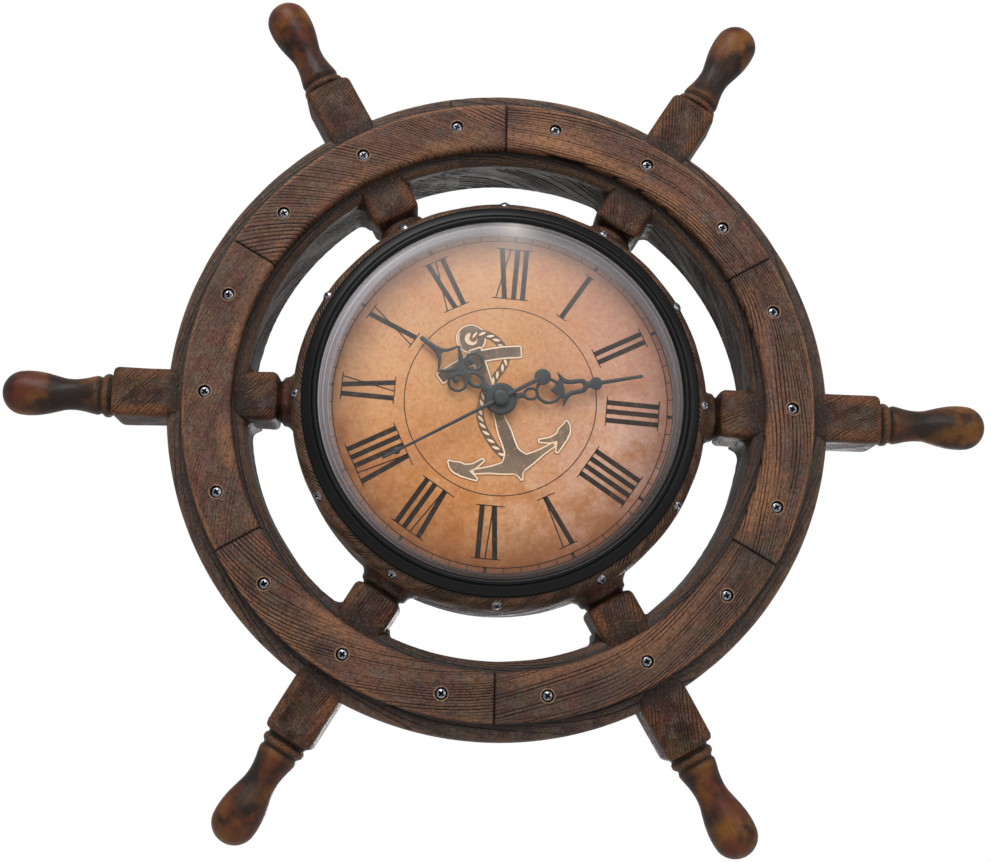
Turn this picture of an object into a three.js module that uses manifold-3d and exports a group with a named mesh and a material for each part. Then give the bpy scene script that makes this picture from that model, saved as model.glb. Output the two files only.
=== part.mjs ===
// A wall clock set in a ship's steering wheel: a wooden wheel of six turned spokes
// with a round quartz clock, its movement and its gear train in the hub.
// Millimetres. Pieces are drawn facing +Z with +Y up, then the whole clock is
// stood up so that it faces -Y with +Z up. The origin is on the hub's axis, off the wall.

import * as THREE from "three";
import { mergeVertices } from "three/addons/utils/BufferGeometryUtils.js";
import Module from "manifold-3d";

// Radial build-up, from the dial outwards
const DIAL_RADIUS = 66.4;
const DIAL_CLEARANCE = 0.4;
const HOUSING_WALL = 2.2;
const HOUSING_CLEARANCE = 0.4;
const HUB_FRONT_WIDTH = 5.9;
const HUB_BEVEL_WIDTH = 4.3;
const WINDOW_WIDTH = 17.5;
const RIM_LEDGE_WIDTH = 4.4;
const PLATE_WIDTH = 18.8;
const RIM_SHOULDER_WIDTH = 6.7;
const SPOKE_BLOCK_LENGTH = 21;
const HANDLE_LENGTH = 42.9;

// Depths, from the wall, and the spokes, each set by hand some way clockwise of true, in degrees
const WALL_DISTANCE = 20;
const SPOKE_SKEWS = [-1.15, -0.66, -0.3, -0.68, -0.31, -0.71];
const SPOKE_COUNT = SPOKE_SKEWS.length;
const SPOKE_WIDTH = 19.2;
const SPOKE_DEPTH = 22.6;
const SPOKE_EDGE = 2.2;
const SPOKE_END_EDGE = 2.6;
const PLATE_THICKNESS = 5.3;
const PLATE_EDGE = 1.2;
const PLATE_SEAM = 0.4;
const RIM_DEPTH = 27.1;
const RIM_SHOULDER_DROP = 4.2;
const RIM_INNER_EDGE = 1.4;
const HUB_DEPTH = 35;
const HUB_BEVEL_DEPTH = 11;
const WOOD_CLEARANCE = 0.3;

// Turned ends of a spoke
const TENON_RADIUS = 5;
const TENON_LENGTH = 7;
const COLLAR_RADIUS = 9.6;
const COLLAR_LENGTH = 3.4;
const NECK_RADIUS = 8.1;
const NECK_LENGTH = 1.4;
const BEAD_RADIUS = 8.4;
const BEAD_LENGTH = 4.6;
const GROOVE_RADIUS = 7.4;
const WAIST_RADIUS = 6;
const WAIST_FROM_TIP = 26;
const BULB_RADIUS = 8.6;
const BULB_FROM_TIP = 9.4;

// Keyhole bracket let into the back of the rim
const HANGER_WIDTH = 34;
const HANGER_HEIGHT = 15;
const HANGER_THICKNESS = 1.2;
const HANGER_POCKET_DEPTH = 6;
const HANGER_POCKET_LEDGE = 5;
const HANGER_POCKET_LIP = 2.5;
const KEYHOLE_RADIUS = 4.2;
const KEYHOLE_SLOT_WIDTH = 4.6;
const KEYHOLE_SLOT_RISE = 6.5;

// Clock case
const INSERT_TURN = 4;
const FLANGE_WIDTH = 4.2;
const FLANGE_THICKNESS = 1.2;
const LENS_SEAT_HEIGHT = 2;
const LENS_FLANGE_WIDTH = 0.8;
const LENS_EDGE = 1.2;
const LENS_CROWN = 1.1;
const LENS_BEVEL_WIDTH = 4.2;
const BEZEL_WIDTH = 6.5;
const BEZEL_RISE = 5;
const BEZEL_LIP = 0.75;
const BEZEL_CREST_WIDTH = 1.5;
const BEZEL_STEP_WIDTH = 0.75;
const BEZEL_STEP_DROP = 1.5;
const BEZEL_EDGE = 1.6;
const BEZEL_SHOULDER_RISE = 0.8;
const CASE_CLEARANCE = 0.3;
const HAND_SPACE = 6.34;
const DIAL_THICKNESS = 1;
const HOUSING_FLOOR = 2;
const GASKET_THICKNESS = 0.8;
const GASKET_WIDTH = 5;
const WASHER_THICKNESS = 0.4;
const WASHER_WIDTH = 1.7;
const NUT_THICKNESS = 1.4;
const NUT_WALL = 0.8;
const NUT_SIDES = 6;

// Concentric arbor, pipes and bush
const SECOND_ARBOR_RADIUS = 0.6;
const PIPE_CLEARANCE = 0.25;
const PIPE_WALL = 0.6;
const BUSH_WALL = 0.85;
const BUSH_STAND = 0.25;
const BUSH_HOLE_CLEARANCE = 0.35;
const HAND_BORE_CLEARANCE = 0.1;

// Hands, lengths from the dial's centre
const HOUR_ANGLE = 303;
const MINUTE_ANGLE = 75;
const SECOND_ANGLE = 237;
const HAND_THICKNESS = 0.5;
const HAND_STEP = 1;
const HAND_CLEARANCE = 0.4;
const HOUR_LENGTH = 39;
const MINUTE_LENGTH = 54.7;
const SECOND_LENGTH = 50;
const HAND_TIP_WIDTH = 0.7;
const HAND_STEM_WIDTH = 2.2;
const BOSS_RADIUS = 6.2;
const CAP_RADIUS = 3;
const CAP_HEIGHT = 1.2;
const CAP_EDGE = 0.4;
const MINUTE_LOOP_AT = 9;
const MINUTE_LOOP_RADIUS = 2.2;
const MINUTE_RING_AT = 18.1;
const MINUTE_RING_RADIUS = 4.6;
const MINUTE_BELL_AT = 23.5;
const MINUTE_BELL_HALF = 6.3;
const MINUTE_BELL_TOP = 32.5;
const MINUTE_BEAD_AT = 36.7;
const MINUTE_BEAD_RADIUS = 2.4;
const HOUR_LOOP_AT = 11.6;
const HOUR_LOOP_RADIUS = 2.9;
const HOUR_SCROLL_AT = 17.2;
const HOUR_SCROLL_SIDE = 5.2;
const HOUR_SCROLL_RADIUS = 4.1;
const HOUR_CROWN_AT = 21;
const HOUR_CROWN_HALF = 5.6;
const HOUR_CROWN_TOP = 32;
const LOOP_BAND = 1.5;
const SECOND_BEAD_AT = 44;
const SECOND_BEAD_RADIUS = 0.9;
const SECOND_TAIL = 18;
const SECOND_DISC_RADIUS = 3;
const SECOND_WIDTH = 1.2;

// Quartz movement
const MOVEMENT_SIDE_WALL = 1.85;
const MOVEMENT_DEPTH = 15.56;
const MOVEMENT_CORNER = 4;
const MOVEMENT_WALL = 1.5;
const MOVEMENT_TOP = 27.4;
const BATTERY_DROP = 20;
const BATTERY_RADIUS = 7.25;
const BATTERY_LENGTH = 49.2;
const BATTERY_NUB_RADIUS = 2.75;
const BATTERY_NUB_LENGTH = 1.3;
const BATTERY_CLEARANCE = 0.3;
const BATTERY_FRONT_WALL = 0.8;
const CONTACT_THICKNESS = 0.4;
const CONTACT_HEIGHT = 9;
const CONTACT_DEPTH = 8;
const CONTACT_GAP = 0.25;

// Gear train: tooth counts, modules, layers and directions of the axes
const GEAR_THICKNESS = 1.2;
const LAYER_PITCH = 2;
const FIRST_LAYER_GAP = 0.5;
const ADDENDUM = 0.85;
const DEDENDUM = 1.05;
const TOOTH_ROOT_SHARE = 0.34;
const CANNON_TEETH = 8;
const MOTION_TEETH = 24;
const MOTION_PINION_TEETH = 6;
const HOUR_TEETH = 24;
const MOTION_MODULE = 0.6;
const KNOB_TEETH = 8;
const SECOND_PINION_TEETH = 6;
const THIRD_TEETH = 48;
const THIRD_PINION_TEETH = 6;
const CENTRE_TEETH = 45;
const THIRD_MODULE = 0.4;
const SECOND_TEETH = 40;
const INTERMEDIATE_PINION_TEETH = 8;
const INTERMEDIATE_TEETH = 36;
const ROTOR_TEETH = 6;
const STEP_MODULE = 0.4;
const MOTION_DIRECTION = 90;
const KNOB_DIRECTION = 30;
const THIRD_DIRECTION = 160;
const INTERMEDIATE_DIRECTION = -10;
const ROTOR_DIRECTION = 20;
const ARBOR_RADIUS = 0.55;
const PIVOT_DEPTH = 0.8;
const PIVOT_CLEARANCE = 0.15;
const PIVOT_END_GAP = 0.2;
const MOTION_POST_RADIUS = 0.65;
const STEP_POST_RADIUS = 0.5;
const POST_END_GAP = 0.3;
const COLLAR_STEP = 0.45;
const COLLAR_WIDTH = 0.75;
const KNOB_ARBOR_RADIUS = 1;
const KNOB_RADIUS = 5.5;
const KNOB_HEIGHT = 3.2;
const KNOB_GAP = 0.3;
const KNOB_FLUTES = 12;
const KNOB_FLUTE_DEPTH = 0.5;
const MAGNET_RADIUS = 3;
const MAGNET_HEIGHT = 2.4;
const STATOR_GAP = 0.4;
const STATOR_THICKNESS = 1.2;
const STATOR_LEG = 4.6;
const STATOR_YOKE = 1.5;
const STATOR_BRIDGE = 3.3;
const STATOR_MARGIN = 1;
const STATOR_POST_RADIUS = 1.1;
const COIL_RADIUS = 3.2;
const COIL_FLANGE_RADIUS = 3.4;
const COIL_FLANGE = 0.8;
const COIL_END_GAP = 0.6;
const BOARD_WIDTH = 12;
const BOARD_HEIGHT = 13;
const BOARD_THICKNESS = 1;
const CRYSTAL_RADIUS = 1;
const CRYSTAL_LENGTH = 6;
const CHIP_SIZE = 4;

// Facets
const RIM_FACETS = 48;
const CLOCK_FACETS = 30;
const HANDLE_FACETS = 12;
const ROD_FACETS = 10;
const BUSH_FACETS = 16;
const ARC_STEPS = 3;
const BEAD_STEPS = 2;
const END_STEPS = 2;
const WAIST_STEPS = 2;
const BULB_STEPS = 3;
const CORNER_STEPS = 3;
const CURVE_STEPS = 4;
const HOLE_STEPS = 6;
const MERGE_DISTANCE = 1e-4;
const CUT_MARGIN = 2;

const rad = THREE.MathUtils.degToRad;
const wasm = await Module();
wasm.setup();

// Radii that follow from the build-up
const HOUSING_INNER = DIAL_RADIUS + DIAL_CLEARANCE;
const HOUSING_OUTER = HOUSING_INNER + HOUSING_WALL;
const HUB_BORE = HOUSING_OUTER + HOUSING_CLEARANCE;
const HUB_FRONT_RADIUS = HUB_BORE + HUB_FRONT_WIDTH;
const HUB_RADIUS = HUB_FRONT_RADIUS + HUB_BEVEL_WIDTH;
const RIM_INNER = HUB_RADIUS + WINDOW_WIDTH;
const PLATE_INNER = RIM_INNER + RIM_LEDGE_WIDTH;
const PLATE_OUTER = PLATE_INNER + PLATE_WIDTH;
const RIM_OUTER = PLATE_OUTER + RIM_SHOULDER_WIDTH;
const SHOULDER_RADIUS = RIM_OUTER + SPOKE_BLOCK_LENGTH;
const TIP_RADIUS = SHOULDER_RADIUS + HANDLE_LENGTH;

// Heights that follow from the depths
const RIM_BACK = -WALL_DISTANCE;
const RIM_FRONT = RIM_BACK + RIM_DEPTH;
const SPOKE_MIDDLE = RIM_FRONT - SPOKE_DEPTH / 2;
const PLATE_FRONT = RIM_FRONT + PLATE_THICKNESS;
const HUB_FRONT = RIM_BACK + HUB_DEPTH;
const LENS_SEAT = HUB_FRONT + LENS_SEAT_HEIGHT;
const DIAL_FRONT = LENS_SEAT - HAND_SPACE;
const DIAL_BACK = DIAL_FRONT - DIAL_THICKNESS;
const FLOOR_BACK = DIAL_BACK - HOUSING_FLOOR;
const CASE_FRONT = FLOOR_BACK - GASKET_THICKNESS;
const CASE_BACK = CASE_FRONT - MOVEMENT_DEPTH;
const TRAIN_FRONT = CASE_FRONT - MOVEMENT_WALL;
const TRAIN_BACK = CASE_BACK + MOVEMENT_WALL;

// Radii of the pipes that run one inside the other
const MINUTE_BORE = SECOND_ARBOR_RADIUS + PIPE_CLEARANCE;
const MINUTE_PIPE_RADIUS = MINUTE_BORE + PIPE_WALL;
const HOUR_BORE = MINUTE_PIPE_RADIUS + PIPE_CLEARANCE;
const HOUR_PIPE_RADIUS = HOUR_BORE + PIPE_WALL;
const BUSH_BORE = HOUR_PIPE_RADIUS + PIPE_CLEARANCE;
const BUSH_RADIUS = BUSH_BORE + BUSH_WALL;
const BUSH_HOLE = BUSH_RADIUS + BUSH_HOLE_CLEARANCE;

// Heights of the fittings in front of the dial
const NUT_BACK = DIAL_FRONT + WASHER_THICKNESS;
const NUT_FRONT = NUT_BACK + NUT_THICKNESS;
const BUSH_FRONT = NUT_FRONT + BUSH_STAND;
const HOUR_HAND_BACK = BUSH_FRONT + HAND_CLEARANCE;
const MINUTE_HAND_BACK = HOUR_HAND_BACK + HAND_STEP;
const SECOND_HAND_BACK = MINUTE_HAND_BACK + HAND_STEP;

// Point at a radius and an angle in radians
function polar(radius, angle) {
  return new THREE.Vector2(radius * Math.cos(angle), radius * Math.sin(angle));
}

// Middle of each sixth of the wheel, clockwise from the upper right
function sixthAngle(index) {
  return ((1 - index) * 2 * Math.PI) / SPOKE_COUNT;
}

// Direction of the spoke in a sixth
function spokeAngle(index) {
  return sixthAngle(index) + rad(SPOKE_SKEWS[index]);
}

// Profile points given as [radius, height], turned about Z into a closed body
function revolve(profile, facets) {
  const points = profile.map(([radius, height]) => new THREE.Vector2(radius, height));
  if (THREE.ShapeUtils.area(points) < 0) points.reverse();
  const onAxis = points[0].x === 0 && points[points.length - 1].x === 0;
  if (!onAxis) points.push(points[0].clone());
  return new THREE.LatheGeometry(points, facets).rotateX(Math.PI / 2);
}

// Ring with a rectangular section
function ring(inner, outer, back, front, facets) {
  const profile = [
    [inner, back],
    [outer, back],
    [outer, front],
    [inner, front],
  ];
  return revolve(profile, facets);
}

// Round rod along Z
function rod(radius, back, front, at = new THREE.Vector2(), facets = ROD_FACETS) {
  const geometry = new THREE.CylinderGeometry(radius, radius, front - back, facets);
  return geometry.rotateX(Math.PI / 2).translate(at.x, at.y, (front + back) / 2);
}

// Flat shape given a thickness along Z
function slab(shape, back, front, curveSegments = HOLE_STEPS) {
  const options = { depth: front - back, bevelEnabled: false, curveSegments };
  return new THREE.ExtrudeGeometry(shape, options).translate(0, 0, back);
}

// Bar along Z with both ends rounded over
function roundedBar(shape, back, front, edge) {
  const options = {
    depth: front - back - 2 * edge,
    bevelThickness: edge,
    bevelSize: edge,
    bevelOffset: -edge,
    bevelSegments: END_STEPS,
  };
  return new THREE.ExtrudeGeometry(shape, options).translate(0, 0, back + edge);
}

// Box between two corners
function box(low, high) {
  const size = high.clone().sub(low);
  const middle = high.clone().add(low).multiplyScalar(0.5);
  return new THREE.BoxGeometry(size.x, size.y, size.z).translate(middle.x, middle.y, middle.z);
}

// Rectangle with rounded corners
function roundedRectangle(left, right, bottom, top, radius) {
  const shape = new THREE.Shape();
  shape.absarc(right - radius, top - radius, radius, 0, Math.PI / 2);
  shape.absarc(left + radius, top - radius, radius, Math.PI / 2, Math.PI);
  shape.absarc(left + radius, bottom + radius, radius, Math.PI, 1.5 * Math.PI);
  shape.absarc(right - radius, bottom + radius, radius, 1.5 * Math.PI, 2 * Math.PI);
  shape.closePath();
  return shape;
}

// Rectangle about the origin with its corners cut at 45 degrees
function chamferedRectangle(halfX, halfY, edge) {
  const corners = [];
  for (const [x, y] of [[1, 1], [-1, 1], [-1, -1], [1, -1]]) {
    const flat = new THREE.Vector2(x * (halfX - edge), y * halfY);
    const side = new THREE.Vector2(x * halfX, y * (halfY - edge));
    corners.push(...(x * y > 0 ? [side, flat] : [flat, side]));
  }
  return new THREE.Shape(corners);
}

// Closed geometry as a solid that can be joined and cut
function solid(geometry) {
  const bare = geometry.clone();
  bare.deleteAttribute("normal");
  bare.deleteAttribute("uv");
  const merged = mergeVertices(bare, MERGE_DISTANCE);
  const corners = merged.index.array;
  const kept = [];
  for (let i = 0; i < corners.length; i += 3) {
    const [a, b, c] = corners.subarray(i, i + 3);
    if (a !== b && b !== c && c !== a) kept.push(a, b, c);
  }
  const vertProperties = merged.attributes.position.array;
  const triVerts = new Uint32Array(kept);
  return new wasm.Manifold(new wasm.Mesh({ numProp: 3, vertProperties, triVerts }));
}

// Several closed geometries joined into one solid
function joined(...geometries) {
  return geometries.map(solid).reduce((whole, piece) => whole.add(piece));
}

// Solid back to a geometry that a mesh can hold
function surface(body) {
  const mesh = body.getMesh();
  const geometry = new THREE.BufferGeometry();
  geometry.setAttribute("position", new THREE.BufferAttribute(mesh.vertProperties, 3));
  geometry.setIndex(new THREE.BufferAttribute(mesh.triVerts, 1));
  geometry.computeVertexNormals();
  return geometry;
}

// Outline of a spur gear whose first tooth points along the phase angle
function gearShape(teeth, module, phase) {
  const pitchRadius = (teeth * module) / 2;
  const tip = pitchRadius + ADDENDUM * module;
  const root = pitchRadius - DEDENDUM * module;
  const step = (2 * Math.PI) / teeth;
  const points = [];
  for (let tooth = 0; tooth < teeth; tooth += 1) {
    const middle = phase + tooth * step;
    points.push(polar(root, middle - TOOTH_ROOT_SHARE * step));
    points.push(polar(tip, middle));
    points.push(polar(root, middle + TOOTH_ROOT_SHARE * step));
  }
  return new THREE.Shape(points);
}

// Spur gear in a layer of the train, its front face at that height
function gear(teeth, module, layer, at, phase) {
  const shape = gearShape(teeth, module, phase);
  return slab(shape, layer - GEAR_THICKNESS, layer).translate(at.x, at.y, 0);
}

// Phase of a gear in mesh with another that lies back along the given direction
function matePhase(phase, teeth, mateTeeth, direction) {
  return direction + Math.PI + Math.PI / mateTeeth - ((phase - direction) * teeth) / mateTeeth;
}

const clock = new THREE.Group();
clock.rotation.x = Math.PI / 2;
const insert = new THREE.Group();
insert.rotation.z = -rad(INSERT_TURN);
clock.add(insert);

// Name a piece, give it its own material and hang it in the scene graph
function place(name, geometry, finish, parent) {
  const mesh = new THREE.Mesh(geometry, new THREE.MeshStandardMaterial(finish));
  mesh.name = name;
  parent.add(mesh);
  return mesh;
}

const DARK_WOOD = { color: 0x4a3024, roughness: 0.55, metalness: 0 };
const WORN_WOOD = { color: 0x5a3a2a, roughness: 0.5, metalness: 0 };
const BLACK_PLASTIC = { color: 0x151515, roughness: 0.4, metalness: 0 };
const CLEAR_PLASTIC = { color: 0xf2f2f5, roughness: 0.08, metalness: 0, transparent: true, opacity: 0.25 };
const PARCHMENT = { color: 0xcd966e, roughness: 0.7, metalness: 0 };
const HAND_PAINT = { color: 0x2d3034, roughness: 0.45, metalness: 0.2 };
const WHITE_RESIN = { color: 0xe6e2d6, roughness: 0.5, metalness: 0 };
const BRASS = { color: 0xb08d4a, roughness: 0.3, metalness: 1 };
const STEEL = { color: 0xa8abb0, roughness: 0.35, metalness: 1 };
const COPPER = { color: 0xb8693a, roughness: 0.35, metalness: 1 };
const BOARD_GREEN = { color: 0x1f5a3a, roughness: 0.5, metalness: 0 };
const RUBBER = { color: 0x1c1c1c, roughness: 0.9, metalness: 0 };
const CELL_JACKET = { color: 0x3a4048, roughness: 0.35, metalness: 0.3 };

// Rim ring: one continuous wooden ring, rounded outside, with a bed for each spoke
// in its front and a pocket for the hanging bracket in its back
function rimRing() {
  const profile = [
    [RIM_INNER, RIM_BACK],
    [RIM_OUTER, RIM_BACK],
  ];
  for (let i = 0; i <= ARC_STEPS; i += 1) {
    const turn = (i / ARC_STEPS) * (Math.PI / 2);
    const radius = PLATE_OUTER + RIM_SHOULDER_WIDTH * Math.cos(turn);
    profile.push([radius, RIM_FRONT - RIM_SHOULDER_DROP * (1 - Math.sin(turn))]);
  }
  profile.push([RIM_INNER + RIM_INNER_EDGE, RIM_FRONT]);
  profile.push([RIM_INNER, RIM_FRONT - RIM_INNER_EDGE]);
  let body = solid(revolve(profile, RIM_FACETS));
  const half = SPOKE_WIDTH / 2 + WOOD_CLEARANCE;
  for (let i = 0; i < SPOKE_COUNT; i += 1) {
    const bed = box(
      new THREE.Vector3(RIM_INNER - CUT_MARGIN, -half, RIM_FRONT - SPOKE_DEPTH - WOOD_CLEARANCE),
      new THREE.Vector3(RIM_OUTER + CUT_MARGIN, half, RIM_FRONT + CUT_MARGIN),
    );
    body = body.subtract(solid(bed.rotateZ(spokeAngle(i))));
  }
  const recess = hangerOutline(WOOD_CLEARANCE, WOOD_CLEARANCE);
  body = body.subtract(solid(slab(recess, RIM_BACK - CUT_MARGIN, RIM_BACK + HANGER_THICKNESS)));
  const pocket = hangerOutline(-HANGER_POCKET_LEDGE, -HANGER_POCKET_LIP);
  return body.subtract(solid(slab(pocket, RIM_BACK, RIM_BACK + HANGER_POCKET_DEPTH)));
}

// Outline of the hanging bracket at the top of the rim, grown by a margin each way
function hangerOutline(marginX, marginY) {
  const middle = (RIM_INNER + RIM_OUTER) / 2;
  const halfWidth = HANGER_WIDTH / 2 + marginX;
  const halfHeight = HANGER_HEIGHT / 2 + marginY;
  const corner = Math.min(halfHeight, halfWidth) / 2;
  return roundedRectangle(-halfWidth, halfWidth, middle - halfHeight, middle + halfHeight, corner);
}

// Hanging bracket: stamped strip with a keyhole, flush with the back of the rim
function wallHanger() {
  const strip = solid(slab(hangerOutline(0, 0), RIM_BACK, RIM_BACK + HANGER_THICKNESS, CORNER_STEPS));
  const middle = (RIM_INNER + RIM_OUTER) / 2;
  const mouth = new THREE.Vector2(0, middle - HANGER_HEIGHT / 2 + KEYHOLE_RADIUS + HANGER_THICKNESS);
  const front = RIM_BACK + HANGER_THICKNESS + CUT_MARGIN;
  const hole = rod(KEYHOLE_RADIUS, RIM_BACK - CUT_MARGIN, front, mouth);
  const slot = box(
    new THREE.Vector3(-KEYHOLE_SLOT_WIDTH / 2, mouth.y, RIM_BACK - CUT_MARGIN),
    new THREE.Vector3(KEYHOLE_SLOT_WIDTH / 2, mouth.y + KEYHOLE_SLOT_RISE, front),
  );
  return strip.subtract(solid(hole)).subtract(solid(slot));
}

// Rim plate: a sixth of the front ring, screwed over a spoke and butted to its neighbours
function rimPlate() {
  const profile = [
    [PLATE_INNER, RIM_FRONT],
    [PLATE_OUTER, RIM_FRONT],
    [PLATE_OUTER, PLATE_FRONT - PLATE_EDGE],
    [PLATE_OUTER - PLATE_EDGE, PLATE_FRONT],
    [PLATE_INNER + PLATE_EDGE, PLATE_FRONT],
    [PLATE_INNER, PLATE_FRONT - PLATE_EDGE],
  ];
  const half = Math.PI / SPOKE_COUNT;
  const reach = 2 * RIM_OUTER;
  const apex = PLATE_SEAM / 2 / Math.sin(half);
  const wedge = new THREE.Shape([
    new THREE.Vector2(apex, 0),
    new THREE.Vector2(apex + reach * Math.cos(half), -reach * Math.sin(half)),
    new THREE.Vector2(apex + reach * Math.cos(half), reach * Math.sin(half)),
  ]);
  const sector = solid(slab(wedge, RIM_FRONT - CUT_MARGIN, PLATE_FRONT + CUT_MARGIN));
  return solid(revolve(profile, RIM_FACETS)).intersect(sector);
}

// Outside of the hub from its back to its front, grown by a margin
function hubOutline(margin) {
  const points = [[HUB_RADIUS + margin, RIM_BACK]];
  for (let i = 0; i <= ARC_STEPS; i += 1) {
    const turn = (i / ARC_STEPS) * (Math.PI / 2);
    const radius = HUB_FRONT_RADIUS + HUB_BEVEL_WIDTH * Math.cos(turn) + margin;
    points.push([radius, HUB_FRONT - HUB_BEVEL_DEPTH * (1 - Math.sin(turn))]);
  }
  return points;
}

// Spoke: a square bar turned to a tenon and collar at the hub and to a handle outside,
// drawn along +X, its collar coped to the hub at the spoke's own skew
function spoke(skew) {
  const seat = HUB_RADIUS - TENON_LENGTH;
  const collarEnd = HUB_RADIUS + COLLAR_LENGTH;
  const neckEnd = collarEnd + NECK_LENGTH;
  const section = chamferedRectangle(SPOKE_DEPTH / 2, SPOKE_WIDTH / 2, SPOKE_EDGE);
  const bar = solid(roundedBar(section, neckEnd, SHOULDER_RADIUS, SPOKE_END_EDGE));
  const neck = solid(rod(NECK_RADIUS, collarEnd, neckEnd + SPOKE_END_EDGE));
  const collar = solid(rod(COLLAR_RADIUS, HUB_FRONT_RADIUS, collarEnd));
  const alongX = (body) => solid(surface(body).rotateY(Math.PI / 2));
  const hub = revolve([[0, RIM_BACK], ...hubOutline(WOOD_CLEARANCE), [0, HUB_FRONT]], CLOCK_FACETS);
  hub.translate(0, 0, -SPOKE_MIDDLE).rotateZ(-rad(skew));
  const tenon = solid(rod(TENON_RADIUS, seat, collarEnd));
  const handle = solid(revolve(handleProfile(), HANDLE_FACETS));
  return alongX(bar.add(neck).add(handle))
    .add(alongX(collar).subtract(solid(hub)))
    .add(alongX(tenon));
}

// Profile of the turned handle: bead, groove, waist, bulb and rounded tip
function handleProfile() {
  const profile = [[0, SHOULDER_RADIUS - SPOKE_END_EDGE]];
  for (let i = 0; i <= BEAD_STEPS; i += 1) {
    const turn = (i / BEAD_STEPS) * Math.PI;
    const radius = GROOVE_RADIUS + (BEAD_RADIUS - GROOVE_RADIUS) * Math.sin(turn);
    profile.push([radius, SHOULDER_RADIUS + (BEAD_LENGTH * (1 - Math.cos(turn))) / 2]);
  }
  const grooveAt = SHOULDER_RADIUS + BEAD_LENGTH;
  const waistAt = TIP_RADIUS - WAIST_FROM_TIP;
  const bulbAt = TIP_RADIUS - BULB_FROM_TIP;
  const sweep = (fromRadius, toRadius, from, to, steps) => {
    for (let i = 1; i <= steps; i += 1) {
      const share = i / steps;
      const ease = (1 - Math.cos(Math.PI * share)) / 2;
      profile.push([fromRadius + (toRadius - fromRadius) * ease, from + (to - from) * share]);
    }
  };
  sweep(GROOVE_RADIUS, WAIST_RADIUS, grooveAt, waistAt, WAIST_STEPS);
  sweep(WAIST_RADIUS, BULB_RADIUS, waistAt, bulbAt, BULB_STEPS);
  for (let i = 1; i < BULB_STEPS; i += 1) {
    const turn = (i / BULB_STEPS) * (Math.PI / 2);
    profile.push([BULB_RADIUS * Math.cos(turn), bulbAt + BULB_FROM_TIP * Math.sin(turn)]);
  }
  profile.push([0, TIP_RADIUS]);
  return profile;
}

// Hub ring: bored for the clock case, with a mortise for each spoke's tenon
function hubRing() {
  const profile = [[HUB_BORE, RIM_BACK], ...hubOutline(0), [HUB_BORE, HUB_FRONT]];
  let body = solid(revolve(profile, CLOCK_FACETS));
  const floor = HUB_RADIUS - TENON_LENGTH - WOOD_CLEARANCE;
  for (let i = 0; i < SPOKE_COUNT; i += 1) {
    const mortise = rod(TENON_RADIUS + WOOD_CLEARANCE, floor, HUB_RADIUS + CUT_MARGIN);
    mortise.rotateY(Math.PI / 2).translate(0, 0, SPOKE_MIDDLE).rotateZ(spokeAngle(i));
    body = body.subtract(solid(mortise));
  }
  return body;
}

place("rim_ring", surface(rimRing()), DARK_WOOD, clock);
place("wall_hanger", surface(wallHanger()), STEEL, clock);
place("hub_ring", surface(hubRing()), DARK_WOOD, clock);
const plateGeometry = surface(rimPlate());
for (let i = 0; i < SPOKE_COUNT; i += 1) {
  const sixth = new THREE.Group();
  sixth.rotation.z = sixthAngle(i);
  clock.add(sixth);
  place(`rim_plate_${i + 1}`, plateGeometry.clone(), WORN_WOOD, sixth);
  const spokeMesh = place(`spoke_${i + 1}`, surface(spoke(SPOKE_SKEWS[i])), DARK_WOOD, sixth);
  spokeMesh.position.z = SPOKE_MIDDLE;
  spokeMesh.rotation.z = rad(SPOKE_SKEWS[i]);
}

// Clock housing: a pan whose flange rests on the hub and whose floor carries the dial
const housingProfile = [
  [BUSH_HOLE, FLOOR_BACK],
  [HOUSING_OUTER, FLOOR_BACK],
  [HOUSING_OUTER, HUB_FRONT],
  [HOUSING_OUTER + FLANGE_WIDTH, HUB_FRONT],
  [HOUSING_OUTER + FLANGE_WIDTH, HUB_FRONT + FLANGE_THICKNESS],
  [HOUSING_OUTER, HUB_FRONT + FLANGE_THICKNESS],
  [HOUSING_OUTER, LENS_SEAT],
  [HOUSING_INNER, LENS_SEAT],
  [HOUSING_INNER, DIAL_BACK],
  [BUSH_HOLE, DIAL_BACK],
];
place("clock_housing", revolve(housingProfile, CLOCK_FACETS), BLACK_PLASTIC, insert);

const dialGeometry = ring(BUSH_HOLE, DIAL_RADIUS, DIAL_BACK, DIAL_FRONT, CLOCK_FACETS);
place("dial_plate", dialGeometry, PARCHMENT, insert);

// Lens: flat clear disc with a bevelled edge, held between the housing and the bezel
const LENS_RADIUS = HOUSING_OUTER + LENS_FLANGE_WIDTH;
const LENS_SHOULDER = LENS_SEAT + LENS_EDGE;
const LIP_RADIUS = HUB_FRONT_RADIUS - BEZEL_WIDTH - CASE_CLEARANCE;
const lensProfile = [
  [0, LENS_SEAT],
  [LENS_RADIUS, LENS_SEAT],
  [LENS_RADIUS, LENS_SHOULDER],
  [LIP_RADIUS - CASE_CLEARANCE, LENS_SHOULDER],
  [LIP_RADIUS - CASE_CLEARANCE - LENS_BEVEL_WIDTH, LENS_SHOULDER + LENS_CROWN],
  [0, LENS_SHOULDER + LENS_CROWN],
];
place("lens", revolve(lensProfile, CLOCK_FACETS), CLEAR_PLASTIC, insert);

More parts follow.
